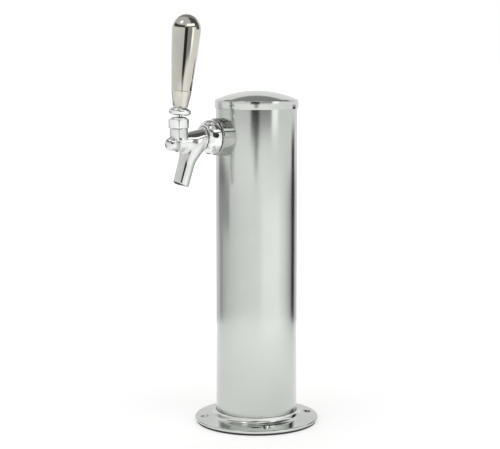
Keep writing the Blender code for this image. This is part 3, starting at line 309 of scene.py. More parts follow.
RUBBER = plain("black_rubber", (0.012, 0.012, 0.013), (0.035, 0.035, 0.036), (0.55, 0.8), 200, 0.25)
NYLON = plain("natural_nylon", (0.72, 0.70, 0.64), (0.84, 0.83, 0.79), (0.35, 0.5), 150, 0.1)
FOAM = plain("dark_foam", (0.035, 0.036, 0.038), (0.10, 0.10, 0.105), (0.85, 0.98), 420, 0.9, grain=1500)
VINYL = plain("cloudy_vinyl", (0.62, 0.65, 0.60), (0.74, 0.77, 0.72), (0.22, 0.34), 60, 0.04)
# Painted shade: a dark finish put inside spanner holes and on the closed spout mouth, where shade falls.
PAINTED_SHADE_BORE = metal("painted_shade_bore", (0.035, 0.036, 0.034), (0.06, 0.061, 0.058), (0.35, 0.5),
                  line_scale=900, depth=0.05, cloud=150)
print("finishes", len(bpy.data.materials))

# %% [markdown]
# ## Round pieces of the foot, column and cap
#
# The flange is a spinning with a rolled rim, a slightly sloped top and a soft sweep up to the column.
# Its four screw holes are the same hole repeated round a circle. They could be cut one by one, but a
# Geometry Nodes tree that puts a countersink on each point of a circle keeps count, circle and first
# angle as named inputs.

# %% Sizes of the foot
GAP = 0.0003
EASE = 0.0003
OVERRUN = 0.004
FLANGE_LOW, FLANGE_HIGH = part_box("base_flange")
FLANGE_RADIUS = (FLANGE_HIGH.x - FLANGE_LOW.x) / 2
TUBE_LOW, TUBE_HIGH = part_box("column_tube")
COLUMN_RADIUS = (TUBE_HIGH.x - TUBE_LOW.x) / 2
PLATE_THICKNESS = 0.0030
PLATE = FLANGE_LOW.z + PLATE_THICKNESS
# The plate's top climbs by this much from its rim to the neck.
RISE = 0.0012
NECK_WALL = 0.0012
NECK = COLUMN_RADIUS + NECK_WALL
FILLET = 0.0050
FLANGE_BORE = 0.0330
LEDGE = FLANGE_LOW.z + 0.0016
SCREW_CIRCLE = 0.0500
SCREWS = 4
FIRST_SCREW = math.radians(-24)
SCREW_HOLE = 0.0025
print("flange radius", round(FLANGE_RADIUS, 4), "column radius", round(COLUMN_RADIUS, 4))


# %% A tree that cuts one tool at each point of a circle
def cut_round(name, mesh, tool, count, circle, first, base, line):
    """Cuts a tool, made about the origin with its depth along +X, at points round an axis."""
    tree = bpy.data.node_groups.new(name + "_round", "GeometryNodeTree")
    face = tree.interface
    face.new_socket("Geometry", in_out="INPUT", socket_type="NodeSocketGeometry")
    sockets = {}
    inputs = (("Tool", "Object", tool), ("Count", "Int", count), ("Circle", "Float", circle),
              ("First angle", "Float", first), ("Finish", "Material", None))
    for title, kind, value in inputs:
        socket = face.new_socket(title, in_out="INPUT", socket_type="NodeSocket" + kind)
        sockets[socket.identifier] = value
    face.new_socket("Geometry", in_out="OUTPUT", socket_type="NodeSocketGeometry")
    nodes, links = tree.nodes, tree.links
    start, end = nodes.new("NodeGroupInput"), nodes.new("NodeGroupOutput")
    circle_node = nodes.new("GeometryNodeMeshCircle")
    links.new(start.outputs["Count"], circle_node.inputs["Vertices"])
    links.new(start.outputs["Circle"], circle_node.inputs["Radius"])
    spot = nodes.new("GeometryNodeObjectInfo")
    links.new(start.outputs["Tool"], spot.inputs["Object"])
    spot.inputs["As Instance"].default_value = True
    put = nodes.new("GeometryNodeInstanceOnPoints")
    links.new(circle_node.outputs["Mesh"], put.inputs["Points"])
    links.new(spot.outputs["Geometry"], put.inputs["Instance"])
    where = nodes.new("GeometryNodeInputPosition")
    facing = nodes.new("FunctionNodeAlignEulerToVector")
    facing.axis = "X"
    facing.pivot_axis = "Z"
    links.new(where.outputs["Position"], facing.inputs["Vector"])
    links.new(facing.outputs["Rotation"], put.inputs["Rotation"])
    turn = nodes.new("GeometryNodeTransform")
    spin = nodes.new("ShaderNodeCombineXYZ")
    links.new(start.outputs["First angle"], spin.inputs["Z"])
    links.new(put.outputs["Instances"], turn.inputs["Geometry"])
    links.new(spin.outputs["Vector"], turn.inputs["Rotation"])
    aim = nodes.new("GeometryNodeTransform")
    aim.inputs["Translation"].default_value = base
    aim.inputs["Rotation"].default_value = UP.rotation_difference(line).to_euler()
    links.new(turn.outputs["Geometry"], aim.inputs["Geometry"])
    real = nodes.new("GeometryNodeRealizeInstances")
    links.new(aim.outputs["Geometry"], real.inputs["Geometry"])
    cut = nodes.new("GeometryNodeMeshBoolean")
    cut.operation = "DIFFERENCE"
    cut.solver = "EXACT"
    links.new(start.outputs["Geometry"], cut.inputs["Mesh 1"])
    links.new(real.outputs["Geometry"], cut.inputs["Mesh 2"])
    paint = nodes.new("GeometryNodeSetMaterial")
    links.new(cut.outputs["Mesh"], paint.inputs["Geometry"])
    links.new(start.outputs["Finish"], paint.inputs["Material"])
    links.new(paint.outputs["Geometry"], end.inputs["Geometry"])
    carrier = bpy.data.objects.new(name, mesh)
    bpy.context.scene.collection.objects.link(carrier)
    modifier = carrier.modifiers.new("Round", "NODES")
    modifier.node_group = tree
    for identifier, value in sockets.items():
        if value is not None:
            modifier[identifier] = value
    bpy.context.view_layer.update()
    graph = bpy.context.evaluated_depsgraph_get()
    result = bpy.data.meshes.new_from_object(carrier.evaluated_get(graph))
    bpy.data.objects.remove(carrier, do_unlink=True)
    bpy.data.objects.remove(tool, do_unlink=True)
    result.name = name
    return result


def tool_of(name, profile, line, sides=48):
    """A cutter about the origin."""
    tool = bpy.data.objects.new(name, turned_mesh(name, profile, ORIGIN, line, sides=sides))
    bpy.context.scene.collection.objects.link(tool)
    return tool


# %% Flange
FILLET_START, FILLET_END = 193, 266
HEAD_RADIUS = 0.0046
SINK_DEPTH = 0.0021
fillet_centre = (NECK + FILLET, PLATE + RISE + FILLET)
rim = PLATE_THICKNESS / 2
flange_profile = [(NECK, FLANGE_HIGH.z)]
flange_profile += arc(fillet_centre, (FILLET, FILLET), FILLET_START, FILLET_END, 14)
flange_profile += arc((FLANGE_RADIUS - rim, FLANGE_LOW.z + rim), (rim, rim), 90, -90, 18)
flange_profile += [(FLANGE_BORE, FLANGE_LOW.z), (FLANGE_BORE, LEDGE), (COLUMN_RADIUS + GAP, LEDGE),
                   (COLUMN_RADIUS + GAP, FLANGE_HIGH.z)]
FACE = PLATE + RISE * (FLANGE_RADIUS - SCREW_CIRCLE) / (FLANGE_RADIUS - NECK)
sink = [(0, FACE + OVERRUN), (HEAD_RADIUS + OVERRUN, FACE + OVERRUN), (SCREW_HOLE, FACE - SINK_DEPTH),
        (SCREW_HOLE, -OVERRUN), (0, -OVERRUN)]
flange_mesh = turned_mesh("flange", eased(flange_profile, EASE, closed=True), COLUMN, UP, closed=True,
                          sides=256)
flange_mesh = cut_round("flange", flange_mesh, tool_of("countersink", sink, UP), SCREWS, SCREW_CIRCLE,
                        FIRST_SCREW, COLUMN, UP)
finished("flange", flange_mesh, POLISHED_STEEL, "tower", ["base_flange"], sharp=28)

# %% Gasket
gasket_low, gasket_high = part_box("base_gasket")
gasket_radius = (gasket_high.x - gasket_low.x) / 2
gasket_profile = [(gasket_radius, gasket_high.z), (gasket_radius, 0), (FLANGE_BORE, 0),
                  (FLANGE_BORE, gasket_high.z)]
gasket_mesh = turned_mesh("gasket", eased(gasket_profile, EASE, closed=True), COLUMN, UP, closed=True,
                          sides=192)
hole = [(0, OVERRUN), (SCREW_HOLE, OVERRUN), (SCREW_HOLE, -OVERRUN), (0, -OVERRUN)]
gasket_mesh = cut_round("gasket", gasket_mesh, tool_of("gasket_hole", hole, UP), SCREWS, SCREW_CIRCLE,
                        FIRST_SCREW, COLUMN, UP)
finished("gasket", gasket_mesh, RUBBER, "tower", ["base_gasket"])

# %% Column
COLUMN_WALL = 0.0015
COLUMN_INSIDE = COLUMN_RADIUS - COLUMN_WALL
SHANK_HOLE = 0.0116
HOLE_NEAR, HOLE_FAR = 0.012, 0.048
# One tool alone sits on the axis, but a circle of points must have some size.
NO_CIRCLE = 0.00001
tube_profile = [(COLUMN_RADIUS, TUBE_HIGH.z), (COLUMN_RADIUS, TUBE_LOW.z), (COLUMN_INSIDE, TUBE_LOW.z),
                (COLUMN_INSIDE, TUBE_HIGH.z)]
tube_mesh = turned_mesh("column", eased(tube_profile, EASE, closed=True), COLUMN, UP, closed=True,
                        sides=256)
shank_hole = [(0, HOLE_FAR), (SHANK_HOLE, HOLE_FAR), (SHANK_HOLE, HOLE_NEAR), (0, HOLE_NEAR)]
tube_mesh = cut_round("column", tube_mesh, tool_of("shank_hole", shank_hole, SIDE), 1, NO_CIRCLE,
                      math.radians(-90), SHANK, UP)
finished("column", tube_mesh, SATIN_STEEL, "tower", ["column_tube"])

# %% Cap
CAP_SKIRT = 0.0080
CAP_WALL = 0.0010
CAP_ROUND = 0.0008
CROWN_EDGE = 0.0009
CAP_SEAT = 0.0018
FINE_EASE = 0.00025
cap_low, cap_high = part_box("top_cap")
CAP_RADIUS = (cap_high.x - cap_low.x) / 2
SHOULDER = cap_low.z + CAP_SKIRT
CAP_RISE = cap_high.z - SHOULDER
SPHERE = (CAP_RADIUS**2 + CAP_RISE**2) / (2 * CAP_RISE)


def dome(radius, reach, count):
    """Points on a sphere whose middle is that of the cap's dome, from the axis out."""
    middle_height = SHOULDER + CAP_RISE - SPHERE
    return [(out, middle_height + math.sqrt(radius**2 - out**2)) for out in np.linspace(0, reach, count)]


cap_profile = dome(SPHERE, CAP_RADIUS - CROWN_EDGE, 40)
cap_profile += arc((CAP_RADIUS - CAP_ROUND, SHOULDER - CAP_ROUND), (CAP_ROUND, CAP_ROUND), 70, 0, 8)
cap_profile += [(CAP_RADIUS, cap_low.z), (COLUMN_RADIUS + GAP, cap_low.z),
                (COLUMN_RADIUS + GAP, SHOULDER - CAP_SEAT), (COLUMN_INSIDE + GAP, SHOULDER - CAP_SEAT)]
cap_profile += reversed(dome(SPHERE - CAP_WALL, COLUMN_INSIDE + GAP, 20))
cap_mesh = turned_mesh("cap", eased(cap_profile, FINE_EASE, least=40), COLUMN, UP, sides=256)
finished("cap", cap_mesh, POLISHED_STEEL, "cap", ["top_cap"])

# %% [markdown]
# ## Collar and coupling nut
#
# The collar is a plain turned ring whose back is scooped to sit on the round column, so a cylinder of
# the column's size is cut from it. The nut that draws the faucet on has a ring of blind holes for a
# pin spanner, and it uses the same tree as the screw holes, turned onto the shank's line.

# %% Collar
COLLAR_RADIUS = 0.0171
COLLAR_TAPER = 0.00005
COLLAR_REAR, COLLAR_FRONT = 0.030, 0.0475
COLLAR_ROUND = 0.0014
COLLAR_BORE = 0.0113
COLUMN_CUT = 0.06
collar_profile = [(COLLAR_RADIUS - COLLAR_TAPER, COLLAR_REAR), (COLLAR_RADIUS, COLLAR_FRONT - COLLAR_ROUND)]
rim_centre = (COLLAR_RADIUS - COLLAR_ROUND, COLLAR_FRONT - COLLAR_ROUND)
collar_profile += arc(rim_centre, (COLLAR_ROUND, COLLAR_ROUND), 0, 90, 12)
collar_profile += [(COLLAR_BORE, COLLAR_FRONT), (COLLAR_BORE, COLLAR_REAR)]
collar_mesh = turned_mesh("collar", collar_profile, SHANK, FORWARD, closed=True, sides=224)
column_cut = [(0, COLUMN_CUT), (COLUMN_RADIUS + GAP, COLUMN_CUT), (COLUMN_RADIUS + GAP, -COLUMN_CUT),
              (0, -COLUMN_CUT)]
collar_mesh = cut_round("collar", collar_mesh, tool_of("column_cut", column_cut, UP, sides=256), 1,
                        NO_CIRCLE, 0.0, SHANK, UP)
# The collar's darker chrome is painted shade.
finished("collar", collar_mesh, PAINTED_SHADE_COLLAR_CHROME, "tower", ["shank_collar"], sharp=30)

# %% Coupling nut
NUT_RADIUS = 0.01585
NUT_FRONT = 0.0592
NUT_EDGE = 0.0008
NUT_INSIDE = 0.0133
LIP_REAR = 0.0576
SHOULDER_START = HUB_PLACE + 0.0045
SHOULDER_POWER = 1.7
HUB_RADIUS = 0.0101
NUT_MOUTH = HUB_RADIUS + 0.0006


def nut_skin(share):
    """The nut's radius on its rounded front, at a share of the way from the shoulder's start."""
    out = (1 - share**SHOULDER_POWER) ** (1 / SHOULDER_POWER)
    return NUT_MOUTH + (NUT_RADIUS - NUT_MOUTH) * out


nut_profile = [(nut_skin(share), SHOULDER_START + (NUT_FRONT - SHOULDER_START) * share)
               for share in np.linspace(1, 0, 30)]
nut_profile += [(NUT_RADIUS, HUB_PLACE + NUT_EDGE), (NUT_RADIUS - NUT_EDGE, HUB_PLACE),
                (NUT_INSIDE, HUB_PLACE), (NUT_INSIDE, LIP_REAR), (HUB_RADIUS + GAP, LIP_REAR),
                (HUB_RADIUS + GAP, NUT_FRONT)]
nut_mesh = turned_mesh("coupling_nut_bright", eased(nut_profile, EASE, closed=True), SHANK, FORWARD,
                       closed=True, sides=224)

# %% Spanner holes
HOLES = 8
HOLE_PLACE = 0.0543
HOLE_RADIUS = 0.0024
HOLE_FLOOR = 0.01415
HOLE_CHAMFER = (0.0004, 0.00035)
FIRST_HOLE = math.radians(9)
spanner = [(0, NUT_RADIUS + OVERRUN), (HOLE_RADIUS, NUT_RADIUS + OVERRUN),
           (HOLE_RADIUS, HOLE_FLOOR + HOLE_CHAMFER[1]), (HOLE_RADIUS - HOLE_CHAMFER[0], HOLE_FLOOR),
           (0, HOLE_FLOOR)]
nut_mesh = cut_round("coupling_nut_bright", nut_mesh, tool_of("spanner_hole", spanner, SIDE), HOLES,
                     NO_CIRCLE, FIRST_HOLE, SHANK + FORWARD * HOLE_PLACE, FORWARD)
finished("coupling_nut_bright", nut_mesh, CHROME, "tower", ["coupling_nut"], sharp=30)

# %% Painted shade inside every second spanner hole
FLOOR_ROOM = 0.00025
WALL_ROOM = 0.00005
SKIN_ROOM = 0.0005
APART = math.tau / (HOLES / 2)


def in_painted_shade_hole(place):
    """Whether a place lies in a hole that gets painted shade, and under the nut's own skin."""
    off = place - SHANK
    ahead = -off.y
    out = math.hypot(off.x, off.z)
    turn = (math.atan2(off.z, off.x) - FIRST_HOLE + APART / 2) % APART - APART / 2
    beside = math.hypot(out * math.sin(turn), ahead - HOLE_PLACE)
    share = min(max((ahead - SHOULDER_START) / (NUT_FRONT - SHOULDER_START), 0), 1)
    deep = HOLE_FLOOR - FLOOR_ROOM < out < nut_skin(share) - SKIN_ROOM
    return deep and beside < HOLE_RADIUS + WALL_ROOM


# Faces inside every second spanner hole get the dark finish: painted shade where the hole's shade falls.
nut_mesh.materials.append(PAINTED_SHADE_BORE)
dark = [face for face in nut_mesh.polygons if in_painted_shade_hole(face.center)]
for face in dark:
    face.material_index = 1
print("dark faces", len(dark))

# %% [markdown]
# ## The faucet's casting
#
# Barrel, nose, spout, hub and neck are one casting, and where they meet the metal flows. Boolean
# joins would leave hard creases there. So the form is written as a distance: for each part, how far
# a point is from its skin, and a soft minimum that rounds the inner corners. A coarse skin comes from
# a voxel remesh, and then each of its points is slid towards the exact form, which takes away the
# ripples that the voxels left. The hollows don't come out this way: a point moves 2.6 mm at most, so
# the chamber is shallow, and the mouth and the socket stay closed. The closed mouth gets a dark
# finish instead: painted shade where the opening would be.

# %% Distances to the casting's parts
def along_line(points, start, line):
    """Distance along a line and distance from it, for many points."""
    rel = points - np.array(start)
    unit = np.array(line.normalized())
    along = rel @ unit
    return along, np.linalg.norm(rel - along[:, None] * unit, axis=1)


def rod_distance(points, start, line, low, high, radius, edge):
    """A cylinder with rounded rims."""
    along, out = along_line(points, start, line)
    a = np.abs(along - (low + high) / 2) - (high - low) / 2 + edge
    b = out - radius + edge
    return np.minimum(np.maximum(a, b), 0) + np.hypot(np.maximum(a, 0), np.maximum(b, 0)) - edge


def soft_join(a, b, blend):
    """The lesser of two distances, rounded where they meet."""
    h = np.clip(0.5 + 0.5 * (b - a) / blend, 0, 1)
    return b + (a - b) * h - blend * h * (1 - h)


def soft_cut(a, b, blend):
    """The first form with the second taken out of it."""
    return -soft_join(-a, b, blend)


# %% The spout's route
SPOUT_LEAN = math.radians(17)
# A point on the spout's middle line: out from the column's axis, and up from the counter.
SPOUT_MIDDLE = (0.0800, 0.2404)
SPOUT_TIP = 0.2298
SPOUT_TOP = 0.2470
THROAT_START = 0.0110
SLOPE = math.atan2(-BARREL_LINE.z, -BARREL_LINE.y)


def spout_point(height):
    """The spout's middle line at a height."""
    out = SPOUT_MIDDLE[0] - (height - SPOUT_MIDDLE[1]) * math.tan(SPOUT_LEAN)
    return Vector((0, COLUMN.y - out, height))


def barrel_point(along):
    """The barrel's middle line at a distance from the coupling's rear face."""
    return BARREL + BARREL_LINE * along


rise = SHANK.z + HUB_PLACE * math.tan(SLOPE) - SPOUT_MIDDLE[1]
bend_out = (SPOUT_MIDDLE[0] - rise * math.tan(SPOUT_LEAN)) / (1 - math.tan(SLOPE) * math.tan(SPOUT_LEAN))
BEND = Vector((0, COLUMN.y - bend_out, SHANK.z - (bend_out - HUB_PLACE) * math.tan(SLOPE)))
THROAT = [np.array(p) for p in (barrel_point(THROAT_START), BEND, spout_point(SPOUT_TOP))]
TIP = spout_point(SPOUT_TIP)
SPOUT_LINE = (TIP - spout_point(SPOUT_TOP)).normalized()
SPOUT_RUN = (TIP - spout_point(SPOUT_TOP)).length
MOUTH_LEAN = math.radians(28)
MOUTH_LINE = Vector((0, -math.sin(MOUTH_LEAN), -math.cos(MOUTH_LEAN)))
print("bend", tuple(round(v, 4) for v in BEND), "tip", tuple(round(v, 4) for v in TIP))

# %% The spout's width on its way
THROAT_RADIUS = 0.0080
RUN_RADIUS = 0.0077
TIP_RADIUS = 0.0074
BEND_SWELL = 0.0024


def throat(u):
    """The curve from the barrel down to the spout's straight run, and its slope."""
    u = np.asarray(u)[..., None]
    place = THROAT[0] * (1 - u) ** 2 + THROAT[1] * (2 * u * (1 - u)) + THROAT[2] * u**2
    slope = 2 * (1 - u) * (THROAT[1] - THROAT[0]) + 2 * u * (THROAT[2] - THROAT[1])
    return place, slope


def throat_radius(u):
    """Widest in the bend, with no step where the straight run starts."""
    taper = THROAT_RADIUS - (THROAT_RADIUS - RUN_RADIUS) * u
    return taper + BEND_SWELL * np.sin(np.pi * u) * (1 - u**4)


# %% Distance to the spout
TRIES = 24
PAST_TIP = 0.006


def spout_distance(points):
    """The nearest place on the route is found among a few, then refined."""
    tries = np.linspace(0, 1, TRIES)
    places, _ = throat(tries)
    u = tries[((points[:, None, 1:] - places[None, :, 1:]) ** 2).sum(axis=2).argmin(axis=1)]
    bend = 2 * (THROAT[0] - 2 * THROAT[1] + THROAT[2])
    for _ in range(3):
        place, slope = throat(u)
        off = place - points
        u = np.clip(u - (off * slope).sum(axis=1) / ((slope**2).sum(axis=1) + off @ bend), 0, 1)
    place, _ = throat(u)
    curved = np.linalg.norm(points - place, axis=1) - throat_radius(u)
    along, out = along_line(points, THROAT[2], SPOUT_LINE)
    down = np.clip(along, 0, SPOUT_RUN + PAST_TIP)
    straight = np.hypot(along - down, out) - (RUN_RADIUS - (RUN_RADIUS - TIP_RADIUS) * down / SPOUT_RUN)
    return np.minimum(curved, straight)


# %% Sizes of the casting
BARREL_REAR, BARREL_FRONT = 0.0080, 0.0407
BARREL_RADIUS = 0.0086
BARREL_RIM = 0.0012
NOSE_PLACE = 0.0448
NOSE_RADIUS = 0.0066
HUB_REAR, HUB_FRONT = 0.0560, 0.0600
NECK_LOW, NECK_HIGH = -0.0130, -0.0026
NECK_RADIUS = 0.00835
SPIGOT_LOW, SPIGOT_HIGH = -0.0080, 0.0006
SPIGOT_RADIUS = 0.0080
SOCKET_FLOOR = -0.0068
SOCKET_RADIUS = 0.0067
WELL_DEPTH = 0.0160
WELL_RADIUS = 0.0067
CHAMBER_START, CHAMBER_END = -0.0200, 0.0128
CHAMBER_RADIUS = 0.0072
NUT_ROOM_FRONT = 0.0596
NUT_ROOM_RADIUS = 0.0098
# How far the well and the socket run past the casting's skin.
CUT_PAST = 0.0100
# How softly two parts of the casting meet.
NOSE_BLEND, SPOUT_BLEND, HUB_BLEND, NECK_BLEND = 0.0004, 0.0030, 0.0008, 0.0012
LIP_BLEND, FINE_BLEND = 0.0005, 0.0002
# How round the rims are.
RIM, SOCKET_RIM, SPIGOT_RIM = 0.0004, 0.0003, 0.0002


# %% The casting as one distance
def casting(points):
    """Distance to the whole casting's skin."""
    barrel = rod_distance(points, BARREL, BARREL_LINE, BARREL_REAR, BARREL_FRONT, BARREL_RADIUS, BARREL_RIM)
    nose = np.linalg.norm(points - np.array(barrel_point(NOSE_PLACE)), axis=1) - NOSE_RADIUS
    form = soft_join(barrel, nose, NOSE_BLEND)
    past_mouth, _ = along_line(points, TIP, MOUTH_LINE)
    spout = -soft_join(-spout_distance(points), -past_mouth, LIP_BLEND)
    form = soft_join(form, spout, SPOUT_BLEND)
    hub = rod_distance(points, SHANK, FORWARD, HUB_REAR, HUB_FRONT, HUB_RADIUS, RIM)
    form = soft_join(form, hub, HUB_BLEND)
    neck = rod_distance(points, PIVOT, UP, NECK_LOW, NECK_HIGH, NECK_RADIUS, RIM)
    form = soft_join(form, neck, NECK_BLEND)
    spigot = rod_distance(points, PIVOT, UP, SPIGOT_LOW, SPIGOT_HIGH, SPIGOT_RADIUS, SPIGOT_RIM)
    form = soft_join(form, spigot, FINE_BLEND)
    well = rod_distance(points, TIP, SPOUT_LINE, -WELL_DEPTH, CUT_PAST, WELL_RADIUS, RIM)
    form = soft_cut(form, well, LIP_BLEND)
    socket = rod_distance(points, PIVOT, UP, SOCKET_FLOOR, CUT_PAST, SOCKET_RADIUS, SOCKET_RIM)
    form = soft_cut(form, socket, FINE_BLEND)
    ahead, out = along_line(points, SHANK, FORWARD)
    nut_room = np.maximum(ahead - NUT_ROOM_FRONT, NUT_ROOM_RADIUS - out)
    form = np.maximum(form, -nut_room)
    chamber = rod_distance(points, BARREL, BARREL_LINE, CHAMBER_START, CHAMBER_END, CHAMBER_RADIUS,
                          SOCKET_RIM)
    return soft_cut(form, chamber, FINE_BLEND)


# %% Skin it and slide its points onto the form
STEP = 2e-6
LEAST_SLOPE = 0.2


def slopes(form, points):
    """How fast the form's distance grows at each point, along each axis."""
    steps = np.eye(3) * STEP
    return np.stack([(form(points + step) - form(points - step)) / (2 * STEP) for step in steps], axis=1)


def skin_of(name, bodies, size, form, rounds=8):
    """One skin round several closed meshes, moved onto the exact form."""
    shape = bmesh.new()
    for mesh in bodies:
        shape.from_mesh(mesh)
        bpy.data.meshes.remove(mesh)
    mesh = bpy.data.meshes.new(name)
    shape.to_mesh(mesh)
    shape.free()
    carrier = bpy.data.objects.new(name, mesh)
    bpy.context.scene.collection.objects.link(carrier)
    remesh = carrier.modifiers.new("Skin", "REMESH")
    remesh.mode = "VOXEL"
    remesh.voxel_size = size
    bpy.context.view_layer.update()
    graph = bpy.context.evaluated_depsgraph_get()
    skin = bpy.data.meshes.new_from_object(carrier.evaluated_get(graph))
    bpy.data.objects.remove(carrier, do_unlink=True)
    points = np.empty(len(skin.vertices) * 3)
    skin.vertices.foreach_get("co", points)
    points = points.reshape(-1, 3)
    for _ in range(rounds):
        here = form(points)
        slope = slopes(form, points)
        steepness = np.maximum((slope**2).sum(axis=1), LEAST_SLOPE)
        points = points - np.clip(here / steepness, -size, size)[:, None] * slope
    skin.vertices.foreach_set("co", points.ravel())
    skin.update()
    skin.name = name
    print(name, "furthest from the form", float(np.abs(form(points)).max()))
    return skin


# %% Rough bodies for the casting
def tube_along(name, path, radii, sides=48):
    """A closed tube along a path in the upright plane."""
    shape = bmesh.new()
    rings = []
    for i, point in enumerate(path):
        ahead = path[min(i + 1, len(path) - 1)] - path[max(i - 1, 0)]
        other = ahead.normalized().cross(SIDE)
        ring = []
        for k in range(sides):
            angle = math.tau * k / sides
            out = SIDE * math.cos(angle) + other * math.sin(angle)
            ring.append(shape.verts.new(point + out * radii[i]))
        rings.append(ring)
    for one, two in zip(rings, rings[1:]):
        for k in range(sides):
            n = (k + 1) % sides
            shape.faces.new((one[k], one[n], two[n], two[k]))
    shape.faces.new(rings[0])
    shape.faces.new(list(reversed(rings[-1])))
    bmesh.ops.recalc_face_normals(shape, faces=shape.faces)
    mesh = bpy.data.meshes.new(name)
    shape.to_mesh(mesh)
    shape.free()
    return mesh


def drum(name, base, line, low, high, radius):
    """A plain closed cylinder."""
    return turned_mesh(name, [(0, high), (radius, high), (radius, low), (0, low)], base, line, sides=64)


INSET = 0.0001
route = np.linspace(0, 1, 20)
spout_path = [Vector(p) for p in throat(route)[0]] + [TIP]
spout_radii = [float(r) for r in throat_radius(route)] + [TIP_RADIUS]
nose_profile = arc((0, NOSE_PLACE), (NOSE_RADIUS, NOSE_RADIUS), 90, -90, 24)
rough = [drum("barrel", BARREL, BARREL_LINE, BARREL_REAR + 2 * INSET, BARREL_FRONT - 2 * INSET,
              BARREL_RADIUS - INSET),
         turned_mesh("nose", nose_profile, BARREL, BARREL_LINE, sides=48),
         tube_along("spout", spout_path, spout_radii),
         drum("hub", SHANK, FORWARD, HUB_REAR + INSET, HUB_FRONT - INSET, HUB_RADIUS - INSET),
         drum("neck", PIVOT, UP, NECK_LOW, NECK_HIGH - INSET, NECK_RADIUS - INSET / 2),
         drum("spigot", PIVOT, UP, SPIGOT_LOW, SPIGOT_HIGH - INSET, SPIGOT_RADIUS - INSET)]
print("rough bodies", len(rough))

# %% The casting, with painted shade at the spout's mouth
VOXEL = 0.00032
BRIGHT_LIP = 0.0002
WELL_MARGIN = 0.0005
casting_mesh = skin_of("faucet_casting", rough, VOXEL, casting)
finished("faucet_casting", casting_mesh, PAINTED_SHADE_CAST_CHROME, "tower", ["faucet_body"], sharp=50)
# Faces in the closed mouth and the well get the dark finish: painted shade where an opening would be.
casting_mesh.materials.append(PAINTED_SHADE_BORE)
middles = np.empty(len(casting_mesh.polygons) * 3)
casting_mesh.polygons.foreach_get("center", middles)
down, out = along_line(middles.reshape(-1, 3), TIP, SPOUT_LINE)
inside = (out < TIP_RADIUS - BRIGHT_LIP) & (down > -WELL_DEPTH - WELL_MARGIN) & (down < OVERRUN)
casting_mesh.polygons.foreach_set("material_index", inside.astype(np.int32))
print("dark faces at the mouth", int(inside.sum()))

# %% [markdown]
# ## Bonnet, lever and handle
#
# The bonnet screws down over the ball. Above it ride the pieces that move with the lever: the bead at
# the handle's foot, the plain lower cone, and the long tapering handle. All are turned, the moving
# ones about the lever's own leaning line.

# %% Bonnet
BONNET_TOP, BONNET_FOOT = 0.0080, -0.0023
BONNET_RADIUS = 0.0095
CROWN_RADIUS = 0.0065
CROWN_EDGE_PLACE = 0.0058
STEM_HOLE = 0.0056
FOOT_CHAMFER = 0.0006
BALL_ROOM = 0.0083
CEILING = 0.0049
CEILING_HOLE = 0.00475
BONNET_EASE = 0.0005
bonnet_profile = [(STEM_HOLE, BONNET_TOP), (CROWN_RADIUS, BONNET_TOP), (BONNET_RADIUS, CROWN_EDGE_PLACE),
                  (BONNET_RADIUS, BONNET_FOOT + FOOT_CHAMFER), (BONNET_RADIUS - FOOT_CHAMFER, BONNET_FOOT),
                  (BALL_ROOM, BONNET_FOOT), (BALL_ROOM, CEILING), (CEILING_HOLE, CEILING)]
bonnet_mesh = turned_mesh("bonnet_bright", eased(bonnet_profile, BONNET_EASE, closed=True, steps=6), PIVOT,
                          UP, closed=True, sides=160)
finished("bonnet_bright", bonnet_mesh, CHROME, "tower", ["bonnet"], sharp=40)

# %% Bead at the handle's foot
BEAD_BORE = 0.0049
BEAD_TOP, BEAD_FOOT = 0.0168, 0.0095
BEAD_SEAT = 0.0072
BEAD_CENTRE = (0.0069, 0.0127)
BEAD_ROUND = 0.0035
bead_profile = [(BEAD_BORE, BEAD_TOP), (BEAD_SEAT, BEAD_TOP)]
bead_profile += arc(BEAD_CENTRE, (BEAD_ROUND, BEAD_ROUND), 84, -90, 40)
bead_profile += [(BEAD_BORE, BEAD_FOOT)]
bead_mesh = turned_mesh("lever_bead", eased(bead_profile, EASE, closed=True), PIVOT, LEVER_LINE, closed=True,
                        sides=144)
finished("lever_bead", bead_mesh, CHROME, "lever", ["lever_collar"], sharp=40)

# %% Cone
CONE_TOP, CONE_FOOT = 0.0308, 0.0171
CONE_TOP_RADIUS, CONE_FOOT_RADIUS = 0.0093, 0.0070
CONE_CHAMFER = 0.0002
cone_profile = [(CONE_TOP_RADIUS - CONE_CHAMFER, CONE_TOP), (CONE_TOP_RADIUS, CONE_TOP - CONE_CHAMFER),
                (CONE_FOOT_RADIUS, CONE_FOOT), (BEAD_BORE, CONE_FOOT), (BEAD_BORE, CONE_TOP)]
cone_mesh = turned_mesh("handle_cone", eased(cone_profile, FINE_EASE, closed=True), PIVOT, LEVER_LINE,
                        closed=True, sides=144)
finished("handle_cone", cone_mesh, WARM_CHROME, "lever", ["handle_ferrule"], sharp=30)

# %% Handle
WIDEST = 0.0860
WIDEST_RADIUS = 0.01305
HANDLE_DOME = 0.0140
HANDLE_FOOT = CONE_TOP + GAP
SWELL = 0.0002
INSERT_RADIUS, INSERT_TOP = 0.0065, 0.0500
handle_profile = arc((0, WIDEST), (WIDEST_RADIUS, HANDLE_DOME), 90, 0, 48)
for share in np.linspace(0, 1, 40)[1:]:
    radius = WIDEST_RADIUS + (CONE_TOP_RADIUS - WIDEST_RADIUS) * share + SWELL * math.sin(math.pi * share)
    handle_profile.append((radius, WIDEST + (HANDLE_FOOT - WIDEST) * share))
handle_profile += [(INSERT_RADIUS, HANDLE_FOOT), (INSERT_RADIUS, INSERT_TOP), (0, INSERT_TOP)]
handle_mesh = turned_mesh("handle", handle_profile, PIVOT, LEVER_LINE, sides=192)
finished("handle", handle_mesh, WARM_CHROME, "lever", ["tap_handle"], sharp=40)

# %% [markdown]
# ## Pieces that stay as they are
#
# What is inside the tower is hidden or hardly seen, and needs no finer mesh. These solids of the
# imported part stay, and only get a finish.

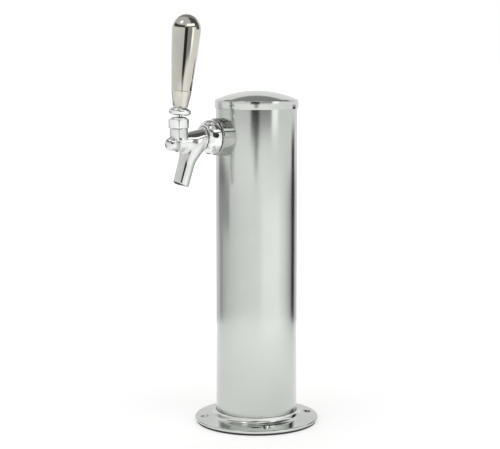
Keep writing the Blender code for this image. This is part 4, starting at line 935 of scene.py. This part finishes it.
# %% Finishes of the solids that stay
KEEP = {"insulation_sleeve": FOAM, "cap_grip_ring": RUBBER, "shank": CHROME, "shank_washer": NYLON,
        "shank_lock_nut": BRASS, "tail_washer": RUBBER, "tail_elbow": BRASS, "tail_nut": BRASS,
        "beer_line": VINYL, "hose_clamp_upper": POLISHED_STEEL, "hose_clamp_lower": POLISHED_STEEL,
        "line_tail": BRASS, "line_nut": BRASS, "coupling_washer": RUBBER, "ball_bushing": NYLON,
        "friction_washer": NYLON, "ball_lever": CHROME, "handle_insert": BRASS, "valve_shaft": BRASS,
        "shaft_seal": RUBBER, "shaft_nut": BRASS}
for node, material in KEEP.items():
    NODES[node].data.materials.clear()
    NODES[node].data.materials.append(material)
print("solids kept", len(KEEP))

# %% [markdown]
# ## Camera
#
# The camera stands 1.26 m from the column and a little above it, turned 55 degrees from the way the
# faucet points. A long lens keeps the column's sides almost upright.

# %% Camera
AZIMUTH = math.radians(55.44)
DISTANCE = 1.2582
HEIGHT = 0.34617
PITCH = math.radians(6.530)
PICTURE_WIDTH = 500
# In pixels of the picture: the lens's focal length, and how far the column stands off the middle.
FOCAL = 1345.7
ASIDE = 6.6
SHIFT = -0.030
FAR_CLIP = 100
lens = bpy.data.cameras.new("camera")
lens.sensor_width = 36
lens.lens = FOCAL / PICTURE_WIDTH * lens.sensor_width
lens.shift_y = SHIFT
lens.clip_end = FAR_CLIP
camera = bpy.data.objects.new("camera", lens)
bpy.context.scene.collection.objects.link(camera)
camera.location = COLUMN + Vector((math.sin(AZIMUTH), -math.cos(AZIMUTH), 0)) * DISTANCE + UP * HEIGHT
camera.rotation_euler = (math.pi / 2 - PITCH, 0, AZIMUTH + math.atan(ASIDE / FOCAL))
bpy.context.scene.camera = camera
print("lens", round(lens.lens, 2))

# %% [markdown]
# ## Studio
#
# Chrome has no look of its own: it shows the room. The room here is a round tent of glowing cloth. It
# is bright in front, greyer on the left, and has a dark strip on either side, which draws the dark
# lines along the column's edges. A thin dark gap in front draws the streak down the middle of the
# column and the handle, and soft lamps hang over the front. Each of these could be an area lamp, but
# it is simpler to write one number on each point of the tent's mesh and let the cloth's shader read
# it. The lens looks in through the cloth, so the tent doesn't show to the camera.

# %% How bright the cloth is
# Stops round the wall at three heights: degrees from the camera's side to the right, and how bright
# the cloth is there.
LOWER_WALL = [(-180, 0.80), (-150, 0.82), (-128, 0.72), (-121, 0.44), (-114, 0.42), (-108, 0.56),
              (-100, 0.66), (-70, 0.85), (-37, 0.98), (-9, 1.02), (7, 1.04), (20, 1.22), (58, 1.27),
              (87, 0.90), (106, 0.54), (112, 0.30), (115, 0.04), (129, 0.04), (134, 0.66), (150, 0.80),
              (180, 0.80)]
MIDDLE_WALL = [(-180, 0.90), (-130, 0.90), (-121, 0.60), (-112, 0.60), (-100, 0.95), (-15, 1.12),
               (20, 1.12), (60, 1.02), (90, 0.95), (130, 0.98), (150, 0.92), (180, 0.90)]
UPPER_WALL = [(-180, 0.90), (-130, 0.86), (-60, 0.80), (-20, 0.74), (12, 0.34), (40, 0.34), (44, 1.6),
              (57, 1.6), (62, 0.95), (100, 0.98), (135, 0.90), (180, 0.90)]
# Each wall takes over from the one below it at a height, over a soft stretch, both in metres, and
# goes on past the tent's top.
MIDDLE_FROM, MIDDLE_SOFT = 0.215, 0.05
UPPER_FROM, UPPER_SOFT = 0.305, 0.03
SKY_HIGH = 9
# Each panel of cloth or lamp: from and to round the tower (degrees), from and to in height (metres),
# and how bright it is.
PANELS = [("back, above the horizon", -200, -128, 0.66, 1.0, 0.30),
          ("back on the right, above the horizon", 128, 200, 0.66, 1.0, 0.30),
          ("ceiling on the left", -128, 40, 0.60, 1.0, 0.62),
          ("ceiling on the right", 40, 128, 0.50, 1.0, 0.10),
          ("dark band on the left", -114, -14, 0.48, 0.60, 0.06),
          ("dark band on the right", 82, 128, 0.38, 0.60, 0.14),
          ("cloth on the left, half way up", -130, -80, 0.14, 0.235, 0.42),
          ("dark edge on the left", -126, -96, 0.20, 0.242, 0.24),
          ("dark edge on the right", 112, 130, 0.15, 0.276, 0.03),
          ("thin gap in front", -6, 4, 0.242, 0.52, 0.45),
          ("gap in front", -15, 8, 0.295, 0.52, 0.03),
          ("lamp over the front", -2, 74, 0.57, 0.72, 1.7),
          ("lamp on the left", -64, -42, 0.70, 0.82, 2.6)]
# How soft a panel's edges are, in degrees and in metres.
SOFT_DEGREES, SOFT_HEIGHT = 6, 0.03


def window(value, low, high, soft):
    """One between two limits, with soft edges."""
    rise = min(max((value - low) / soft + 0.5, 0), 1)
    fall = min(max((high - value) / soft + 0.5, 0), 1)
    return rise * rise * (3 - 2 * rise) * fall * fall * (3 - 2 * fall)


def cloth_level(around, height):
    """The cloth's glow in a direction round the tower and at a height."""
    lower, middle, upper = (float(np.interp(around, *zip(*stops)))
                            for stops in (LOWER_WALL, MIDDLE_WALL, UPPER_WALL))
    level = lower + (middle - lower) * window(height, MIDDLE_FROM, SKY_HIGH, MIDDLE_SOFT)
    level += (upper - level) * window(height, UPPER_FROM, SKY_HIGH, UPPER_SOFT)
    for _, start, end, low, high, glow in PANELS:
        share = window(around, start, end, SOFT_DEGREES) * window(height, low, high, SOFT_HEIGHT)
        level += (glow - level) * share
    return level


print("panels", len(PANELS))

# %% Tent
TENT_RADIUS = 0.46
TENT_WALL = 0.62
TENT_DOME = 0.30
TENT_FOOT = 0.001
CLOTH_COLOUR = (0.995, 1.0, 0.985, 1)


def glowing(name, mesh, level_at):
    """Hangs a glowing mesh in the studio: its brightness is a number on each of its points."""
    levels = mesh.attributes.new("glow", "FLOAT", "POINT")
    for i, point in enumerate(mesh.vertices):
        x, y, z = point.co
        levels.data[i].value = level_at(math.degrees(math.atan2(x, -y)), z)
    material = bpy.data.materials.new(name)
    material.use_nodes = True
    nodes, links = material.node_tree.nodes, material.node_tree.links
    nodes.clear()
    glow = nodes.new("ShaderNodeEmission")
    glow.inputs["Color"].default_value = CLOTH_COLOUR
    number = nodes.new("ShaderNodeAttribute")
    number.attribute_name = "glow"
    links.new(number.outputs["Fac"], glow.inputs["Strength"])
    links.new(glow.outputs[0], nodes.new("ShaderNodeOutputMaterial").inputs["Surface"])
    mesh.materials.append(material)
    cloth = bpy.data.objects.new(name, mesh)
    bpy.context.scene.collection.objects.link(cloth)
    cloth.location = COLUMN
    cloth.rotation_euler = (0, 0, AZIMUTH)
    cloth.visible_camera = False
    print(name, len(mesh.polygons), "faces")


tent_profile = [(TENT_RADIUS, float(z)) for z in np.linspace(TENT_FOOT, TENT_WALL, 42)]
tent_profile += arc((0, TENT_WALL), (TENT_RADIUS, TENT_DOME), 3, 90, 30)
glowing("tent", turned_mesh("tent", tent_profile, ORIGIN, UP, sides=180), cloth_level)

# %% [markdown]
# ## Floor and background
#
# The floor is matt white paper. It glows a little, more further out, so that it runs into the white
# background and the shadow under the foot stays soft and pale. The world behind it is white to the
# camera and in reflections, and a little dimmer as light.

# %% Floor
FLOOR_RINGS = (0, 0.5, 2, 60)
FLOOR_DROP = 0.0002
PAPER = (0.80, 0.80, 0.80, 1)
PAPER_ROUGHNESS = 0.9
NEAR, NEAR_GLOW = 0.10, 0.46
OUT, OUT_GLOW = 0.70, 0.68
WHITE = (1, 1, 1, 1)
floor_mesh = turned_mesh("floor", [(radius, 0) for radius in FLOOR_RINGS], -UP * FLOOR_DROP, UP, sides=64)
floor = bpy.data.objects.new("floor", floor_mesh)
bpy.context.scene.collection.objects.link(floor)


def floor_finish():
    """Matt white paper that is also lit from below, so its shadow is soft and pale."""
    material = bpy.data.materials.new("white_paper")
    material.use_nodes = True
    nodes, links = material.node_tree.nodes, material.node_tree.links
    shader = nodes["Principled BSDF"]
    shader.inputs["Base Color"].default_value = PAPER
    shader.inputs["Roughness"].default_value = PAPER_ROUGHNESS
    shader.inputs["Emission Color"].default_value = WHITE
    place = nodes.new("ShaderNodeTexCoord")
    away = nodes.new("ShaderNodeVectorMath")
    away.operation = "LENGTH"
    links.new(place.outputs["Object"], away.inputs[0])
    glow = nodes.new("ShaderNodeMapRange")
    links.new(away.outputs["Value"], glow.inputs["Value"])
    for title, value in (("From Min", NEAR), ("From Max", OUT), ("To Min", NEAR_GLOW), ("To Max", OUT_GLOW)):
        glow.inputs[title].default_value = value
    links.new(glow.outputs["Result"], shader.inputs["Emission Strength"])
    return material


floor_mesh.materials.append(floor_finish())
print("floor", len(floor_mesh.polygons), "faces")

# %% World
WORLD_LIGHT, WORLD_SEEN = 0.7, 1.0
world = bpy.data.worlds.new("studio")
bpy.context.scene.world = world
world.use_nodes = True
tree = world.node_tree
tree.nodes.clear()
path = tree.nodes.new("ShaderNodeLightPath")
seen = tree.nodes.new("ShaderNodeMath")
seen.operation = "ADD"
tree.links.new(path.outputs["Is Camera Ray"], seen.inputs[0])
tree.links.new(path.outputs["Is Glossy Ray"], seen.inputs[1])
seen_all = tree.nodes.new("ShaderNodeMath")
seen_all.operation = "ADD"
seen_all.use_clamp = True
tree.links.new(seen.outputs[0], seen_all.inputs[0])
tree.links.new(path.outputs["Is Transmission Ray"], seen_all.inputs[1])
level = tree.nodes.new("ShaderNodeMapRange")
tree.links.new(seen_all.outputs[0], level.inputs["Value"])
level.inputs["To Min"].default_value = WORLD_LIGHT
level.inputs["To Max"].default_value = WORLD_SEEN
sky = tree.nodes.new("ShaderNodeBackground")
sky.inputs["Color"].default_value = WHITE
tree.links.new(level.outputs["Result"], sky.inputs["Strength"])
shown = tree.nodes.new("ShaderNodeOutputWorld")
tree.links.new(sky.outputs[0], shown.inputs["Surface"])
bpy.context.scene.view_settings.view_transform = "Standard"
print("world", world.name)
